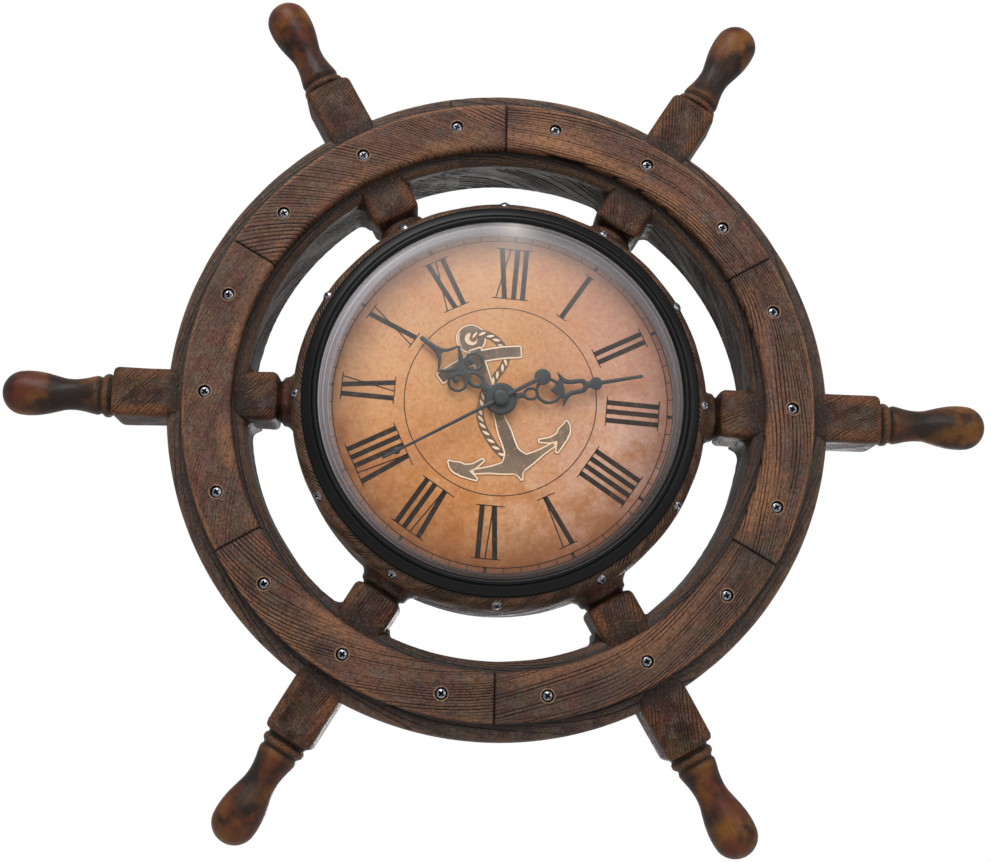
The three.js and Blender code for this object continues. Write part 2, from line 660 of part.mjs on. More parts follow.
// Bezel: black ring over the housing's flange, with an outer bead and a raised inner lip
const BEZEL_OUTER = HUB_FRONT_RADIUS - CASE_CLEARANCE;
const BEZEL_TOP = HUB_FRONT + BEZEL_RISE;
const BEZEL_CREST = LIP_RADIUS + BEZEL_LIP + BEZEL_CREST_WIDTH;
const LENS_POCKET = LENS_RADIUS + CASE_CLEARANCE;
const FLANGE_POCKET = HOUSING_OUTER + FLANGE_WIDTH + CASE_CLEARANCE;
const bezelProfile = [
  [FLANGE_POCKET, HUB_FRONT],
  [BEZEL_OUTER, HUB_FRONT],
  [BEZEL_OUTER, HUB_FRONT + BEZEL_EDGE],
  [BEZEL_OUTER - BEZEL_EDGE, HUB_FRONT + BEZEL_EDGE + BEZEL_SHOULDER_RISE],
  [BEZEL_CREST + BEZEL_STEP_WIDTH, BEZEL_TOP - BEZEL_STEP_DROP],
  [BEZEL_CREST, BEZEL_TOP],
  [BEZEL_CREST - BEZEL_CREST_WIDTH, BEZEL_TOP],
  [LIP_RADIUS, BEZEL_TOP - BEZEL_LIP],
  [LIP_RADIUS, LENS_SHOULDER + CASE_CLEARANCE],
  [LENS_POCKET, LENS_SHOULDER + CASE_CLEARANCE],
  [LENS_POCKET, HUB_FRONT + FLANGE_THICKNESS + CASE_CLEARANCE],
  [FLANGE_POCKET, HUB_FRONT + FLANGE_THICKNESS + CASE_CLEARANCE],
];
place("bezel", revolve(bezelProfile, CLOCK_FACETS), BLACK_PLASTIC, insert);

// Fixing of the movement: rubber gasket behind the pan, washer and nut in front of the dial
const gasketGeometry = ring(BUSH_HOLE, BUSH_HOLE + GASKET_WIDTH, CASE_FRONT, FLOOR_BACK, BUSH_FACETS);
place("gasket", gasketGeometry, RUBBER, insert);
const washerGeometry = ring(BUSH_HOLE, BUSH_HOLE + WASHER_WIDTH, DIAL_FRONT, NUT_BACK, BUSH_FACETS);
place("washer", washerGeometry, BRASS, insert);
const nutOutline = new THREE.Shape();
for (let i = 0; i < NUT_SIDES; i += 1) {
  const corner = polar((BUSH_HOLE + NUT_WALL) / Math.cos(Math.PI / NUT_SIDES), (i * 2 * Math.PI) / NUT_SIDES);
  if (i === 0) nutOutline.moveTo(corner.x, corner.y);
  else nutOutline.lineTo(corner.x, corner.y);
}
nutOutline.closePath();
nutOutline.holes.push(new THREE.Path().absarc(0, 0, BUSH_HOLE, 0, 2 * Math.PI, true));
place("hex_nut", slab(nutOutline, NUT_BACK, NUT_FRONT), BRASS, insert);

// Axes of the train, from the centre outwards along their directions
const CENTRE_AXIS = new THREE.Vector2(0, 0);
const MOTION_DISTANCE = ((CANNON_TEETH + MOTION_TEETH) * MOTION_MODULE) / 2;
const HOUR_MODULE = (2 * MOTION_DISTANCE) / (MOTION_PINION_TEETH + HOUR_TEETH);
const KNOB_DISTANCE = ((MOTION_TEETH + KNOB_TEETH) * MOTION_MODULE) / 2;
const THIRD_DISTANCE = ((SECOND_PINION_TEETH + THIRD_TEETH) * THIRD_MODULE) / 2;
const CENTRE_MODULE = (2 * THIRD_DISTANCE) / (THIRD_PINION_TEETH + CENTRE_TEETH);
const STEP_DISTANCE = ((SECOND_TEETH + INTERMEDIATE_PINION_TEETH) * STEP_MODULE) / 2;
const ROTOR_DISTANCE = ((INTERMEDIATE_TEETH + ROTOR_TEETH) * STEP_MODULE) / 2;
const MOTION_AXIS = polar(MOTION_DISTANCE, rad(MOTION_DIRECTION));
const KNOB_AXIS = polar(KNOB_DISTANCE, rad(KNOB_DIRECTION)).add(MOTION_AXIS);
const THIRD_AXIS = polar(THIRD_DISTANCE, rad(THIRD_DIRECTION));
const STEP_AXIS = polar(STEP_DISTANCE, rad(INTERMEDIATE_DIRECTION));
const ROTOR_AXIS = polar(ROTOR_DISTANCE, rad(ROTOR_DIRECTION)).add(STEP_AXIS);

// Each pinion has a tooth on the line of centres, and the wheel it meets a gap
const CANNON_PHASE = rad(MOTION_DIRECTION);
const MOTION_PHASE = matePhase(CANNON_PHASE, CANNON_TEETH, MOTION_TEETH, rad(MOTION_DIRECTION));
const MOTION_PINION_PHASE = rad(MOTION_DIRECTION) + Math.PI;
const HOUR_PHASE = rad(MOTION_DIRECTION) + Math.PI / HOUR_TEETH;
const KNOB_PHASE = matePhase(MOTION_PHASE, MOTION_TEETH, KNOB_TEETH, rad(KNOB_DIRECTION));
const SECOND_PINION_PHASE = rad(THIRD_DIRECTION);
const THIRD_PHASE = matePhase(SECOND_PINION_PHASE, SECOND_PINION_TEETH, THIRD_TEETH, rad(THIRD_DIRECTION));
const THIRD_PINION_PHASE = rad(THIRD_DIRECTION) + Math.PI;
const CENTRE_PHASE = rad(THIRD_DIRECTION) + Math.PI / CENTRE_TEETH;
const STEP_PINION_PHASE = rad(INTERMEDIATE_DIRECTION) + Math.PI;
const SECOND_PHASE = rad(INTERMEDIATE_DIRECTION) + Math.PI / SECOND_TEETH;
const ROTOR_PHASE = rad(ROTOR_DIRECTION) + Math.PI;
const STEP_PHASE = rad(ROTOR_DIRECTION) + Math.PI / INTERMEDIATE_TEETH;

// Front face of each gear layer, counted from the dial side
const HOUR_LAYER = TRAIN_FRONT - FIRST_LAYER_GAP;
const MOTION_LAYER = HOUR_LAYER - LAYER_PITCH;
const CENTRE_LAYER = MOTION_LAYER - LAYER_PITCH;
const THIRD_LAYER = CENTRE_LAYER - LAYER_PITCH;
const SECOND_LAYER = THIRD_LAYER - LAYER_PITCH;
const STEP_LAYER = SECOND_LAYER - LAYER_PITCH;
const PIVOT_FRONT = TRAIN_FRONT + PIVOT_DEPTH - PIVOT_END_GAP;
const PIVOT_BACK = TRAIN_BACK - PIVOT_DEPTH + PIVOT_END_GAP;

// Blind bearing hole in a plate of the movement
function pivotHole(at, radius, back, front) {
  return solid(rod(radius + PIVOT_CLEARANCE, back, front, at));
}

// Movement front: moulded case with the threaded bush, bearing posts and an open battery bay
const CASE_BOTTOM = -BATTERY_DROP - BATTERY_RADIUS - BATTERY_CLEARANCE - MOVEMENT_WALL;
const BAY_TOP = BATTERY_RADIUS + BATTERY_CLEARANCE - BATTERY_DROP;
const BAY_FRONT = CASE_FRONT - BATTERY_FRONT_WALL;
const CELL_HALF = (BATTERY_LENGTH + BATTERY_NUB_LENGTH) / 2;
const BAY_HALF = CELL_HALF + 2 * CONTACT_GAP + CONTACT_THICKNESS;
const CASE_HALF = BAY_HALF + MOVEMENT_SIDE_WALL;
const STATOR_FRONT = (THIRD_LAYER + SECOND_LAYER - GEAR_THICKNESS + STATOR_THICKNESS) / 2;
const STATOR_LEFT = ROTOR_AXIS.x - MAGNET_RADIUS - STATOR_GAP - STATOR_YOKE;
const STATOR_RIGHT = CASE_HALF - MOVEMENT_WALL - CASE_CLEARANCE - COIL_FLANGE_RADIUS + STATOR_LEG / 2;
const STATOR_BOTTOM = ROTOR_AXIS.y - MAGNET_RADIUS - STATOR_GAP - STATOR_YOKE;
const STATOR_TOP = MOVEMENT_TOP - MOVEMENT_WALL - STATOR_MARGIN;
const STATOR_POSTS = [
  new THREE.Vector2(STATOR_LEFT + STATOR_BRIDGE / 2, STATOR_TOP - STATOR_BRIDGE / 2),
  new THREE.Vector2(STATOR_RIGHT - STATOR_BRIDGE / 2, STATOR_BOTTOM + STATOR_BRIDGE / 2),
];

function movementFront() {
  const outline = roundedRectangle(-CASE_HALF, CASE_HALF, CASE_BOTTOM, MOVEMENT_TOP, MOVEMENT_CORNER);
  const bush = rod(BUSH_RADIUS, TRAIN_FRONT, BUSH_FRONT, CENTRE_AXIS, BUSH_FACETS);
  const cavity = box(
    new THREE.Vector3(MOVEMENT_WALL - CASE_HALF, BAY_TOP + MOVEMENT_WALL, TRAIN_BACK - CUT_MARGIN),
    new THREE.Vector3(CASE_HALF - MOVEMENT_WALL, MOVEMENT_TOP - MOVEMENT_WALL, TRAIN_FRONT),
  );
  const bay = box(
    new THREE.Vector3(-BAY_HALF, CASE_BOTTOM + MOVEMENT_WALL, TRAIN_BACK - CUT_MARGIN),
    new THREE.Vector3(BAY_HALF, BAY_TOP, BAY_FRONT),
  );
  const bore = rod(BUSH_BORE, TRAIN_FRONT - CUT_MARGIN, BUSH_FRONT + CUT_MARGIN, CENTRE_AXIS, BUSH_FACETS);
  let body = joined(slab(outline, TRAIN_BACK, CASE_FRONT, CORNER_STEPS), bush);
  body = body.subtract(solid(cavity)).subtract(solid(bay)).subtract(solid(bore));
  const motionPostEnd = MOTION_LAYER - GEAR_THICKNESS - POST_END_GAP;
  body = body.add(solid(rod(MOTION_POST_RADIUS, motionPostEnd, CASE_FRONT - PIVOT_DEPTH, MOTION_AXIS)));
  for (const at of STATOR_POSTS) {
    body = body.add(solid(rod(STATOR_POST_RADIUS, STATOR_FRONT, CASE_FRONT - PIVOT_DEPTH, at)));
  }
  for (const at of [THIRD_AXIS, ROTOR_AXIS, KNOB_AXIS]) {
    const hole = pivotHole(at, ARBOR_RADIUS, TRAIN_FRONT - PIVOT_DEPTH, TRAIN_FRONT + PIVOT_DEPTH);
    body = body.subtract(hole);
  }
  return body;
}

// Movement back: cover over the train, with bearing holes and a post for the step wheel
function movementBack() {
  const bottom = BAY_TOP + BATTERY_CLEARANCE;
  const outline = roundedRectangle(-CASE_HALF, CASE_HALF, bottom, MOVEMENT_TOP, MOVEMENT_CORNER);
  const postEnd = SECOND_LAYER + POST_END_GAP;
  let body = joined(
    slab(outline, CASE_BACK, TRAIN_BACK, CORNER_STEPS),
    rod(STEP_POST_RADIUS, CASE_BACK + PIVOT_DEPTH, postEnd, STEP_AXIS),
  );
  for (const at of [THIRD_AXIS, ROTOR_AXIS]) {
    body = body.subtract(pivotHole(at, ARBOR_RADIUS, TRAIN_BACK - PIVOT_DEPTH, TRAIN_BACK + PIVOT_DEPTH));
  }
  const centreHole = [SECOND_ARBOR_RADIUS, TRAIN_BACK - PIVOT_DEPTH, TRAIN_BACK + PIVOT_DEPTH];
  body = body.subtract(pivotHole(CENTRE_AXIS, ...centreHole));
  const knobHole = [KNOB_ARBOR_RADIUS, CASE_BACK - CUT_MARGIN, TRAIN_BACK + CUT_MARGIN];
  return body.subtract(pivotHole(KNOB_AXIS, ...knobHole));
}
place("movement_front", surface(movementFront()), BLACK_PLASTIC, insert);
place("movement_back", surface(movementBack()), BLACK_PLASTIC, insert);

// Hour wheel: gear on the hour pipe, driven by the motion pinion
const hourWheel = joined(
  gear(HOUR_TEETH, HOUR_MODULE, HOUR_LAYER, CENTRE_AXIS, HOUR_PHASE),
  rod(HOUR_PIPE_RADIUS, HOUR_LAYER - GEAR_THICKNESS, HOUR_HAND_BACK + HAND_THICKNESS),
).subtract(
  solid(rod(HOUR_BORE, HOUR_LAYER - CUT_MARGIN, HOUR_HAND_BACK + CUT_MARGIN)),
);
place("hour_wheel", surface(hourWheel), WHITE_RESIN, insert);

// Minute pipe: cannon pinion and collars on the pipe that carries the minute hand
const MINUTE_FOOT = CENTRE_LAYER - GEAR_THICKNESS - COLLAR_STEP;
const minutePipe = joined(
  gear(CANNON_TEETH, MOTION_MODULE, MOTION_LAYER, CENTRE_AXIS, CANNON_PHASE),
  rod(MINUTE_PIPE_RADIUS, MINUTE_FOOT, MINUTE_HAND_BACK + HAND_THICKNESS),
  rod(MINUTE_PIPE_RADIUS + COLLAR_WIDTH, MINUTE_FOOT, MINUTE_FOOT + COLLAR_STEP - HAND_BORE_CLEARANCE),
).subtract(
  solid(rod(MINUTE_BORE, MINUTE_FOOT - CUT_MARGIN, MINUTE_HAND_BACK + CUT_MARGIN)),
);
place("minute_pipe", surface(minutePipe), BRASS, insert);

// Centre wheel: friction fit on the minute pipe, so the hands can be set
const centreWheel = solid(
  gear(CENTRE_TEETH, CENTRE_MODULE, CENTRE_LAYER, CENTRE_AXIS, CENTRE_PHASE),
).subtract(
  solid(rod(MINUTE_PIPE_RADIUS + HAND_BORE_CLEARANCE, CENTRE_LAYER - CUT_MARGIN, CENTRE_LAYER + CUT_MARGIN)),
);
place("centre_wheel", surface(centreWheel), BRASS, insert);

// Motion wheel: wheel and pinion on a post, between the minute pipe and the hour wheel
const motionBack = MOTION_LAYER - GEAR_THICKNESS;
const motionWheel = joined(
  gear(MOTION_TEETH, MOTION_MODULE, MOTION_LAYER, MOTION_AXIS, MOTION_PHASE),
  gear(MOTION_PINION_TEETH, HOUR_MODULE, HOUR_LAYER, MOTION_AXIS, MOTION_PINION_PHASE),
  rod(MOTION_POST_RADIUS + PIVOT_CLEARANCE + PIPE_WALL / 2, motionBack, HOUR_LAYER, MOTION_AXIS),
).subtract(
  pivotHole(MOTION_AXIS, MOTION_POST_RADIUS, motionBack - CUT_MARGIN, HOUR_LAYER + CUT_MARGIN),
);
place("motion_wheel", surface(motionWheel), WHITE_RESIN, insert);

// Third wheel: steps the minute down from the second hand's arbor
const thirdWheel = joined(
  gear(THIRD_TEETH, THIRD_MODULE, THIRD_LAYER, THIRD_AXIS, THIRD_PHASE),
  gear(THIRD_PINION_TEETH, CENTRE_MODULE, CENTRE_LAYER, THIRD_AXIS, THIRD_PINION_PHASE),
  rod(ARBOR_RADIUS, PIVOT_BACK, PIVOT_FRONT, THIRD_AXIS),
);
place("third_wheel", surface(thirdWheel), WHITE_RESIN, insert);

// Second wheel: long arbor through the minute pipe to the second hand
const secondWheel = joined(
  gear(SECOND_TEETH, STEP_MODULE, SECOND_LAYER, CENTRE_AXIS, SECOND_PHASE),
  gear(SECOND_PINION_TEETH, THIRD_MODULE, THIRD_LAYER, CENTRE_AXIS, SECOND_PINION_PHASE),
  rod(SECOND_ARBOR_RADIUS, PIVOT_BACK, SECOND_HAND_BACK + HAND_THICKNESS),
);
place("second_wheel", surface(secondWheel), WHITE_RESIN, insert);

// Step wheel: between the rotor's pinion and the second wheel
const stepBack = STEP_LAYER - GEAR_THICKNESS;
const stepWheel = joined(
  gear(INTERMEDIATE_TEETH, STEP_MODULE, STEP_LAYER, STEP_AXIS, STEP_PHASE),
  gear(INTERMEDIATE_PINION_TEETH, STEP_MODULE, SECOND_LAYER, STEP_AXIS, STEP_PINION_PHASE),
  rod(STEP_POST_RADIUS + PIVOT_CLEARANCE + PIPE_WALL / 2, stepBack, SECOND_LAYER, STEP_AXIS),
).subtract(
  pivotHole(STEP_AXIS, STEP_POST_RADIUS, stepBack - CUT_MARGIN, SECOND_LAYER + CUT_MARGIN),
);
place("step_wheel", surface(stepWheel), WHITE_RESIN, insert);

// Rotor: magnet and pinion on one arbor, turned by the stator's field
const magnetMiddle = STATOR_FRONT - STATOR_THICKNESS / 2;
const rotor = joined(
  gear(ROTOR_TEETH, STEP_MODULE, STEP_LAYER, ROTOR_AXIS, ROTOR_PHASE),
  rod(MAGNET_RADIUS, magnetMiddle - MAGNET_HEIGHT / 2, magnetMiddle + MAGNET_HEIGHT / 2, ROTOR_AXIS),
  rod(ARBOR_RADIUS, PIVOT_BACK, PIVOT_FRONT, ROTOR_AXIS),
);
place("rotor", surface(rotor), STEEL, insert);

// Setting knob: fluted wheel behind the cover, its pinion in mesh with the motion wheel
const knobFront = CASE_BACK - KNOB_GAP;
const fluteShape = new THREE.Shape();
for (let i = 0; i < 2 * KNOB_FLUTES; i += 1) {
  const point = polar(KNOB_RADIUS - (i % 2) * KNOB_FLUTE_DEPTH, (i * Math.PI) / KNOB_FLUTES);
  if (i === 0) fluteShape.moveTo(point.x, point.y);
  else fluteShape.lineTo(point.x, point.y);
}
fluteShape.closePath();
const setKnob = joined(
  slab(fluteShape, knobFront - KNOB_HEIGHT, knobFront).translate(KNOB_AXIS.x, KNOB_AXIS.y, 0),
  rod(KNOB_ARBOR_RADIUS, knobFront - KNOB_HEIGHT, MOTION_LAYER, KNOB_AXIS),
  gear(KNOB_TEETH, MOTION_MODULE, MOTION_LAYER, KNOB_AXIS, KNOB_PHASE),
  rod(ARBOR_RADIUS, MOTION_LAYER - GEAR_THICKNESS, PIVOT_FRONT, KNOB_AXIS),
);
place("set_knob", surface(setKnob), WHITE_RESIN, insert);

// Stator: one stamped frame with the rotor's hole in its foot and the coil on its right leg
const WINDOW_BOTTOM = ROTOR_AXIS.y + MAGNET_RADIUS + STATOR_GAP + STATOR_YOKE;
const WINDOW_TOP = STATOR_TOP - STATOR_BRIDGE;
const WINDOW_RIGHT = STATOR_RIGHT - STATOR_LEG;
const statorShape = new THREE.Shape([
  new THREE.Vector2(STATOR_LEFT, STATOR_BOTTOM),
  new THREE.Vector2(STATOR_RIGHT, STATOR_BOTTOM),
  new THREE.Vector2(STATOR_RIGHT, STATOR_TOP),
  new THREE.Vector2(STATOR_LEFT, STATOR_TOP),
]);
statorShape.holes.push(
  new THREE.Path([
    new THREE.Vector2(STATOR_LEFT + STATOR_BRIDGE, WINDOW_BOTTOM),
    new THREE.Vector2(STATOR_LEFT + STATOR_BRIDGE, WINDOW_TOP),
    new THREE.Vector2(WINDOW_RIGHT, WINDOW_TOP),
    new THREE.Vector2(WINDOW_RIGHT, WINDOW_BOTTOM),
  ]),
  new THREE.Path().absarc(ROTOR_AXIS.x, ROTOR_AXIS.y, MAGNET_RADIUS + STATOR_GAP, 0, 2 * Math.PI, true),
);
place("stator", slab(statorShape, STATOR_FRONT - STATOR_THICKNESS, STATOR_FRONT), STEEL, insert);

// Coil: winding between two bobbin flanges, threaded on the stator's leg
const coilBottom = WINDOW_BOTTOM + COIL_END_GAP;
const coilTop = WINDOW_TOP - COIL_END_GAP;
const coilProfile = [
  [0, coilBottom],
  [COIL_FLANGE_RADIUS, coilBottom],
  [COIL_FLANGE_RADIUS, coilBottom + COIL_FLANGE],
  [COIL_RADIUS, coilBottom + COIL_FLANGE],
  [COIL_RADIUS, coilTop - COIL_FLANGE],
  [COIL_FLANGE_RADIUS, coilTop - COIL_FLANGE],
  [COIL_FLANGE_RADIUS, coilTop],
  [0, coilTop],
];
const coreHalf = new THREE.Vector2(STATOR_LEG / 2, STATOR_THICKNESS / 2).addScalar(CASE_CLEARANCE);
const coilMiddle = new THREE.Vector3(STATOR_RIGHT - STATOR_LEG / 2, 0, magnetMiddle);
const coilBody = revolve(coilProfile, ROD_FACETS).rotateX(-Math.PI / 2);
const coil = solid(coilBody.translate(coilMiddle.x, 0, coilMiddle.z)).subtract(
  solid(
    box(
      new THREE.Vector3(-coreHalf.x, coilBottom - CUT_MARGIN, -coreHalf.y).add(coilMiddle),
      new THREE.Vector3(coreHalf.x, coilTop + CUT_MARGIN, coreHalf.y).add(coilMiddle),
    ),
  ),
);
place("coil", surface(coil), COPPER, insert);

// Circuit board: against the front plate, with its chip and crystal
const boardLeft = MOVEMENT_WALL + STATOR_MARGIN - CASE_HALF;
const boardTop = MOVEMENT_TOP - MOVEMENT_WALL - STATOR_MARGIN;
const boardBack = TRAIN_FRONT - BOARD_THICKNESS;
const board = joined(
  box(
    new THREE.Vector3(boardLeft, boardTop - BOARD_HEIGHT, boardBack),
    new THREE.Vector3(boardLeft + BOARD_WIDTH, boardTop, TRAIN_FRONT),
  ),
  box(
    new THREE.Vector3(boardLeft + CHIP_SIZE / 2, boardTop - 1.5 * CHIP_SIZE, boardBack - BOARD_THICKNESS),
    new THREE.Vector3(boardLeft + 1.5 * CHIP_SIZE, boardTop - CHIP_SIZE / 2, TRAIN_FRONT),
  ),
  new THREE.CylinderGeometry(CRYSTAL_RADIUS, CRYSTAL_RADIUS, CRYSTAL_LENGTH, ROD_FACETS).translate(
    boardLeft + BOARD_WIDTH - 2 * CRYSTAL_RADIUS,
    boardTop - BOARD_HEIGHT / 2,
    boardBack - CRYSTAL_RADIUS / 2,
  ),
);
place("circuit_board", surface(board), BOARD_GREEN, insert);

// Battery: an AA cell lying across the bay, with a spring strip at each end
const batteryAxis = new THREE.Vector3(0, -BATTERY_DROP, BAY_FRONT - BATTERY_CLEARANCE - BATTERY_RADIUS);
const cellProfile = [
  [0, -CELL_HALF],
  [BATTERY_RADIUS, -CELL_HALF],
  [BATTERY_RADIUS, CELL_HALF - BATTERY_NUB_LENGTH],
  [BATTERY_NUB_RADIUS, CELL_HALF - BATTERY_NUB_LENGTH],
  [BATTERY_NUB_RADIUS, CELL_HALF],
  [0, CELL_HALF],
];
const cell = revolve(cellProfile, BUSH_FACETS).rotateY(Math.PI / 2);
place("battery", cell.translate(batteryAxis.x, batteryAxis.y, batteryAxis.z), CELL_JACKET, insert);
const contactHalf = new THREE.Vector3(CONTACT_THICKNESS, CONTACT_HEIGHT, CONTACT_DEPTH).multiplyScalar(0.5);
const contactOffset = CELL_HALF + CONTACT_GAP + CONTACT_THICKNESS / 2;
for (const [name, side] of [["contact_plus", 1], ["contact_minus", -1]]) {
  const middle = batteryAxis.clone().setX(side * contactOffset);
  const strip = box(middle.clone().sub(contactHalf), middle.clone().add(contactHalf));
  place(name, strip, STEEL, insert);
}

// Flat round shape, with an open middle if a band is given
function disc(x, y, radius, band = 0) {
  const shape = new THREE.Shape().absarc(x, y, radius, 0, 2 * Math.PI);
  if (band > 0) shape.holes.push(new THREE.Path().absarc(x, y, radius - band, 0, 2 * Math.PI, true));
  return shape;
}

// Straight bar along +Y, as wide as a hand's stem unless widths are given
function taper(from, to, fromWidth = HAND_STEM_WIDTH, toWidth = fromWidth) {
  return new THREE.Shape([
    new THREE.Vector2(-fromWidth / 2, from),
    new THREE.Vector2(fromWidth / 2, from),
    new THREE.Vector2(toWidth / 2, to),
    new THREE.Vector2(-toWidth / 2, to),
  ]);
}

// Flared bell or crown: hollow sides rising from a wide foot to a narrow top
function flare(foot, top, halfFoot, halfTop) {
  const rise = foot + (top - foot) / 3;
  const shape = new THREE.Shape();
  shape.moveTo(-halfFoot, foot);
  shape.quadraticCurveTo(0, rise, halfFoot, foot);
  shape.quadraticCurveTo(halfTop * 2, rise, halfTop, top);
  shape.lineTo(-halfTop, top);
  shape.quadraticCurveTo(-halfTop * 2, rise, -halfFoot, foot);
  return shape;
}

// Hand cut from sheet: its shapes joined, bored for its pipe and turned to its hour
function hand(shapes, back, bore, angle) {
  const sheet = joined(...shapes.map((shape) => slab(shape, back, back + HAND_THICKNESS, CURVE_STEPS)));
  const hole = rod(bore + HAND_BORE_CLEARANCE, back - CUT_MARGIN, back + CUT_MARGIN);
  return surface(sheet.subtract(solid(hole))).rotateZ(-rad(angle));
}

const hourShapes = [
  disc(0, 0, BOSS_RADIUS),
  disc(0, HOUR_LOOP_AT, HOUR_LOOP_RADIUS, LOOP_BAND),
  disc(-HOUR_SCROLL_SIDE, HOUR_SCROLL_AT, HOUR_SCROLL_RADIUS, LOOP_BAND),
  disc(HOUR_SCROLL_SIDE, HOUR_SCROLL_AT, HOUR_SCROLL_RADIUS, LOOP_BAND),
  taper(BOSS_RADIUS / 2, HOUR_LOOP_AT - HOUR_LOOP_RADIUS + LOOP_BAND / 2),
  taper(HOUR_LOOP_AT + HOUR_LOOP_RADIUS - LOOP_BAND / 2, HOUR_CROWN_TOP),
  flare(HOUR_CROWN_AT, HOUR_CROWN_TOP, HOUR_CROWN_HALF, HAND_STEM_WIDTH / 2),
  taper(HOUR_CROWN_AT, HOUR_LENGTH, HAND_STEM_WIDTH, HAND_TIP_WIDTH),
];
const hourGeometry = hand(hourShapes, HOUR_HAND_BACK, HOUR_PIPE_RADIUS, HOUR_ANGLE);
place("hour_hand", hourGeometry, HAND_PAINT, insert);

const minuteShapes = [
  disc(0, 0, BOSS_RADIUS),
  disc(0, MINUTE_LOOP_AT, MINUTE_LOOP_RADIUS),
  disc(0, MINUTE_RING_AT, MINUTE_RING_RADIUS, LOOP_BAND),
  disc(0, MINUTE_BEAD_AT, MINUTE_BEAD_RADIUS),
  taper(BOSS_RADIUS / 2, MINUTE_RING_AT - MINUTE_RING_RADIUS + LOOP_BAND / 2),
  taper(MINUTE_RING_AT + MINUTE_RING_RADIUS - LOOP_BAND / 2, MINUTE_BELL_TOP),
  flare(MINUTE_BELL_AT, MINUTE_BELL_TOP, MINUTE_BELL_HALF, HAND_STEM_WIDTH / 2),
  taper(MINUTE_BELL_AT, MINUTE_LENGTH, HAND_STEM_WIDTH, HAND_TIP_WIDTH),
];
const minuteGeometry = hand(minuteShapes, MINUTE_HAND_BACK, MINUTE_PIPE_RADIUS, MINUTE_ANGLE);
place("minute_hand", minuteGeometry, HAND_PAINT, insert);

// Second hand: needle with a counterweight disc, under a turned cap that closes its bore
const secondShapes = [
  disc(0, 0, CAP_RADIUS),
  disc(0, SECOND_BEAD_AT, SECOND_BEAD_RADIUS),
  disc(0, -SECOND_TAIL, SECOND_DISC_RADIUS),
  taper(-SECOND_TAIL, SECOND_LENGTH, SECOND_WIDTH, HAND_TIP_WIDTH),
];
const secondHand = hand(secondShapes, SECOND_HAND_BACK, SECOND_ARBOR_RADIUS, SECOND_ANGLE);
const capBack = SECOND_HAND_BACK + HAND_THICKNESS;
const capProfile = [
  [0, capBack],
  [CAP_RADIUS, capBack],
  [CAP_RADIUS, capBack + CAP_HEIGHT - CAP_EDGE],
  [CAP_RADIUS - CAP_EDGE, capBack + CAP_HEIGHT],
  [0, capBack + CAP_HEIGHT],
];
const cap = solid(revolve(capProfile, BUSH_FACETS));
place("second_hand", surface(solid(secondHand).add(cap)), HAND_PAINT, insert);

export default clock;
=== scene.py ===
import bpy
import numpy as np
from mathutils import Matrix


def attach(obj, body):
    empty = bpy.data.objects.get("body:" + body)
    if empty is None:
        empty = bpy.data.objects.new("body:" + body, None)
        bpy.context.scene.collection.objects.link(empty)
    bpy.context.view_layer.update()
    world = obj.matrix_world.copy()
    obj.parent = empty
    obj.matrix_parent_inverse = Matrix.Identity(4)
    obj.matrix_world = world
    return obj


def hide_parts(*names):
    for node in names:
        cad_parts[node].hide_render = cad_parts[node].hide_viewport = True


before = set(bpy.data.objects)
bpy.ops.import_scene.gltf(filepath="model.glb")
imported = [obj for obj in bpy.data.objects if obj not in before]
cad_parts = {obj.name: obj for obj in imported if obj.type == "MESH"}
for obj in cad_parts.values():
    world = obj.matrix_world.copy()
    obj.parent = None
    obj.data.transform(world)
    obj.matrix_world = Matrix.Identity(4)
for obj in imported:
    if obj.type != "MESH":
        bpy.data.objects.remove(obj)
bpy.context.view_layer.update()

# Rim ring: the wheel's one continuous ring of dark stained wood. It is rounded outside, has a
# moulded step inside the plates, and its deep inner wall is left rough from the chisel.
MM = 0.001
TURN = 2 * np.pi


def tint(red, green, blue):
    """Colour as the eye reads it, 0 to 255, turned into the linear values that light works with."""
    shown = np.array([red, green, blue]) / 255
    linear = np.where(shown > 0.04045, ((shown + 0.055) / 1.055) ** 2.4, shown / 12.92)
    return (*linear.tolist(), 1.0)


def on_wheel(radius, angle, height, sideways=0.0):
    """Points in metres from a radius and an angle clockwise from twelve in the wheel's face, a height
    in front of the wheel's middle and a distance square to the radius, in millimetres and radians."""
    across = radius * np.sin(angle) + sideways * np.cos(angle)
    upward = radius * np.cos(angle) - sideways * np.sin(angle)
    return np.stack(np.broadcast_arrays(across, -height, upward), axis=-1) * MM


def ripple(seed, *axes):
    """Smooth unevenness of about -1 to 1: the sum of nine sine waves along the axes given, whose
    directions and phases are drawn from the seed."""
    draw = np.random.default_rng(seed)
    total = 0.0
    for _ in range(9):
        phase = draw.uniform(0, TURN)
        for axis in axes:
            phase = phase + axis * draw.normal()
        total = total + np.sin(phase)
    return total / 3


def step_up(value, low, high):
    """Smooth change from 0 at low to 1 at high, level at both ends: 3t^2 - 2t^3."""
    share = np.clip((value - low) / (high - low), 0, 1)
    return share * share * (3 - 2 * share)


def bell(distance, width, power=2):
    """Bell curve of a distance: e to the minus (distance / width) to a power."""
    return np.exp(-((distance / width) ** power))


def grain(seed, along, across, pitch, wander=1.0):
    """Carved grain as two smooth fields: a number that grows by one from line to line, a pitch apart
    across the grain and unevenly spaced, and how deep each line is cut, 0 to 1, along it."""
    bent = across + wander * ripple(seed, along / 19, across / 11)
    line = bent / pitch + 0.4 * ripple(seed + 1, bent / 4)
    return line, np.clip(0.55 + 0.5 * ripple(seed + 2, line * 1.1, along / 15), 0, 1)


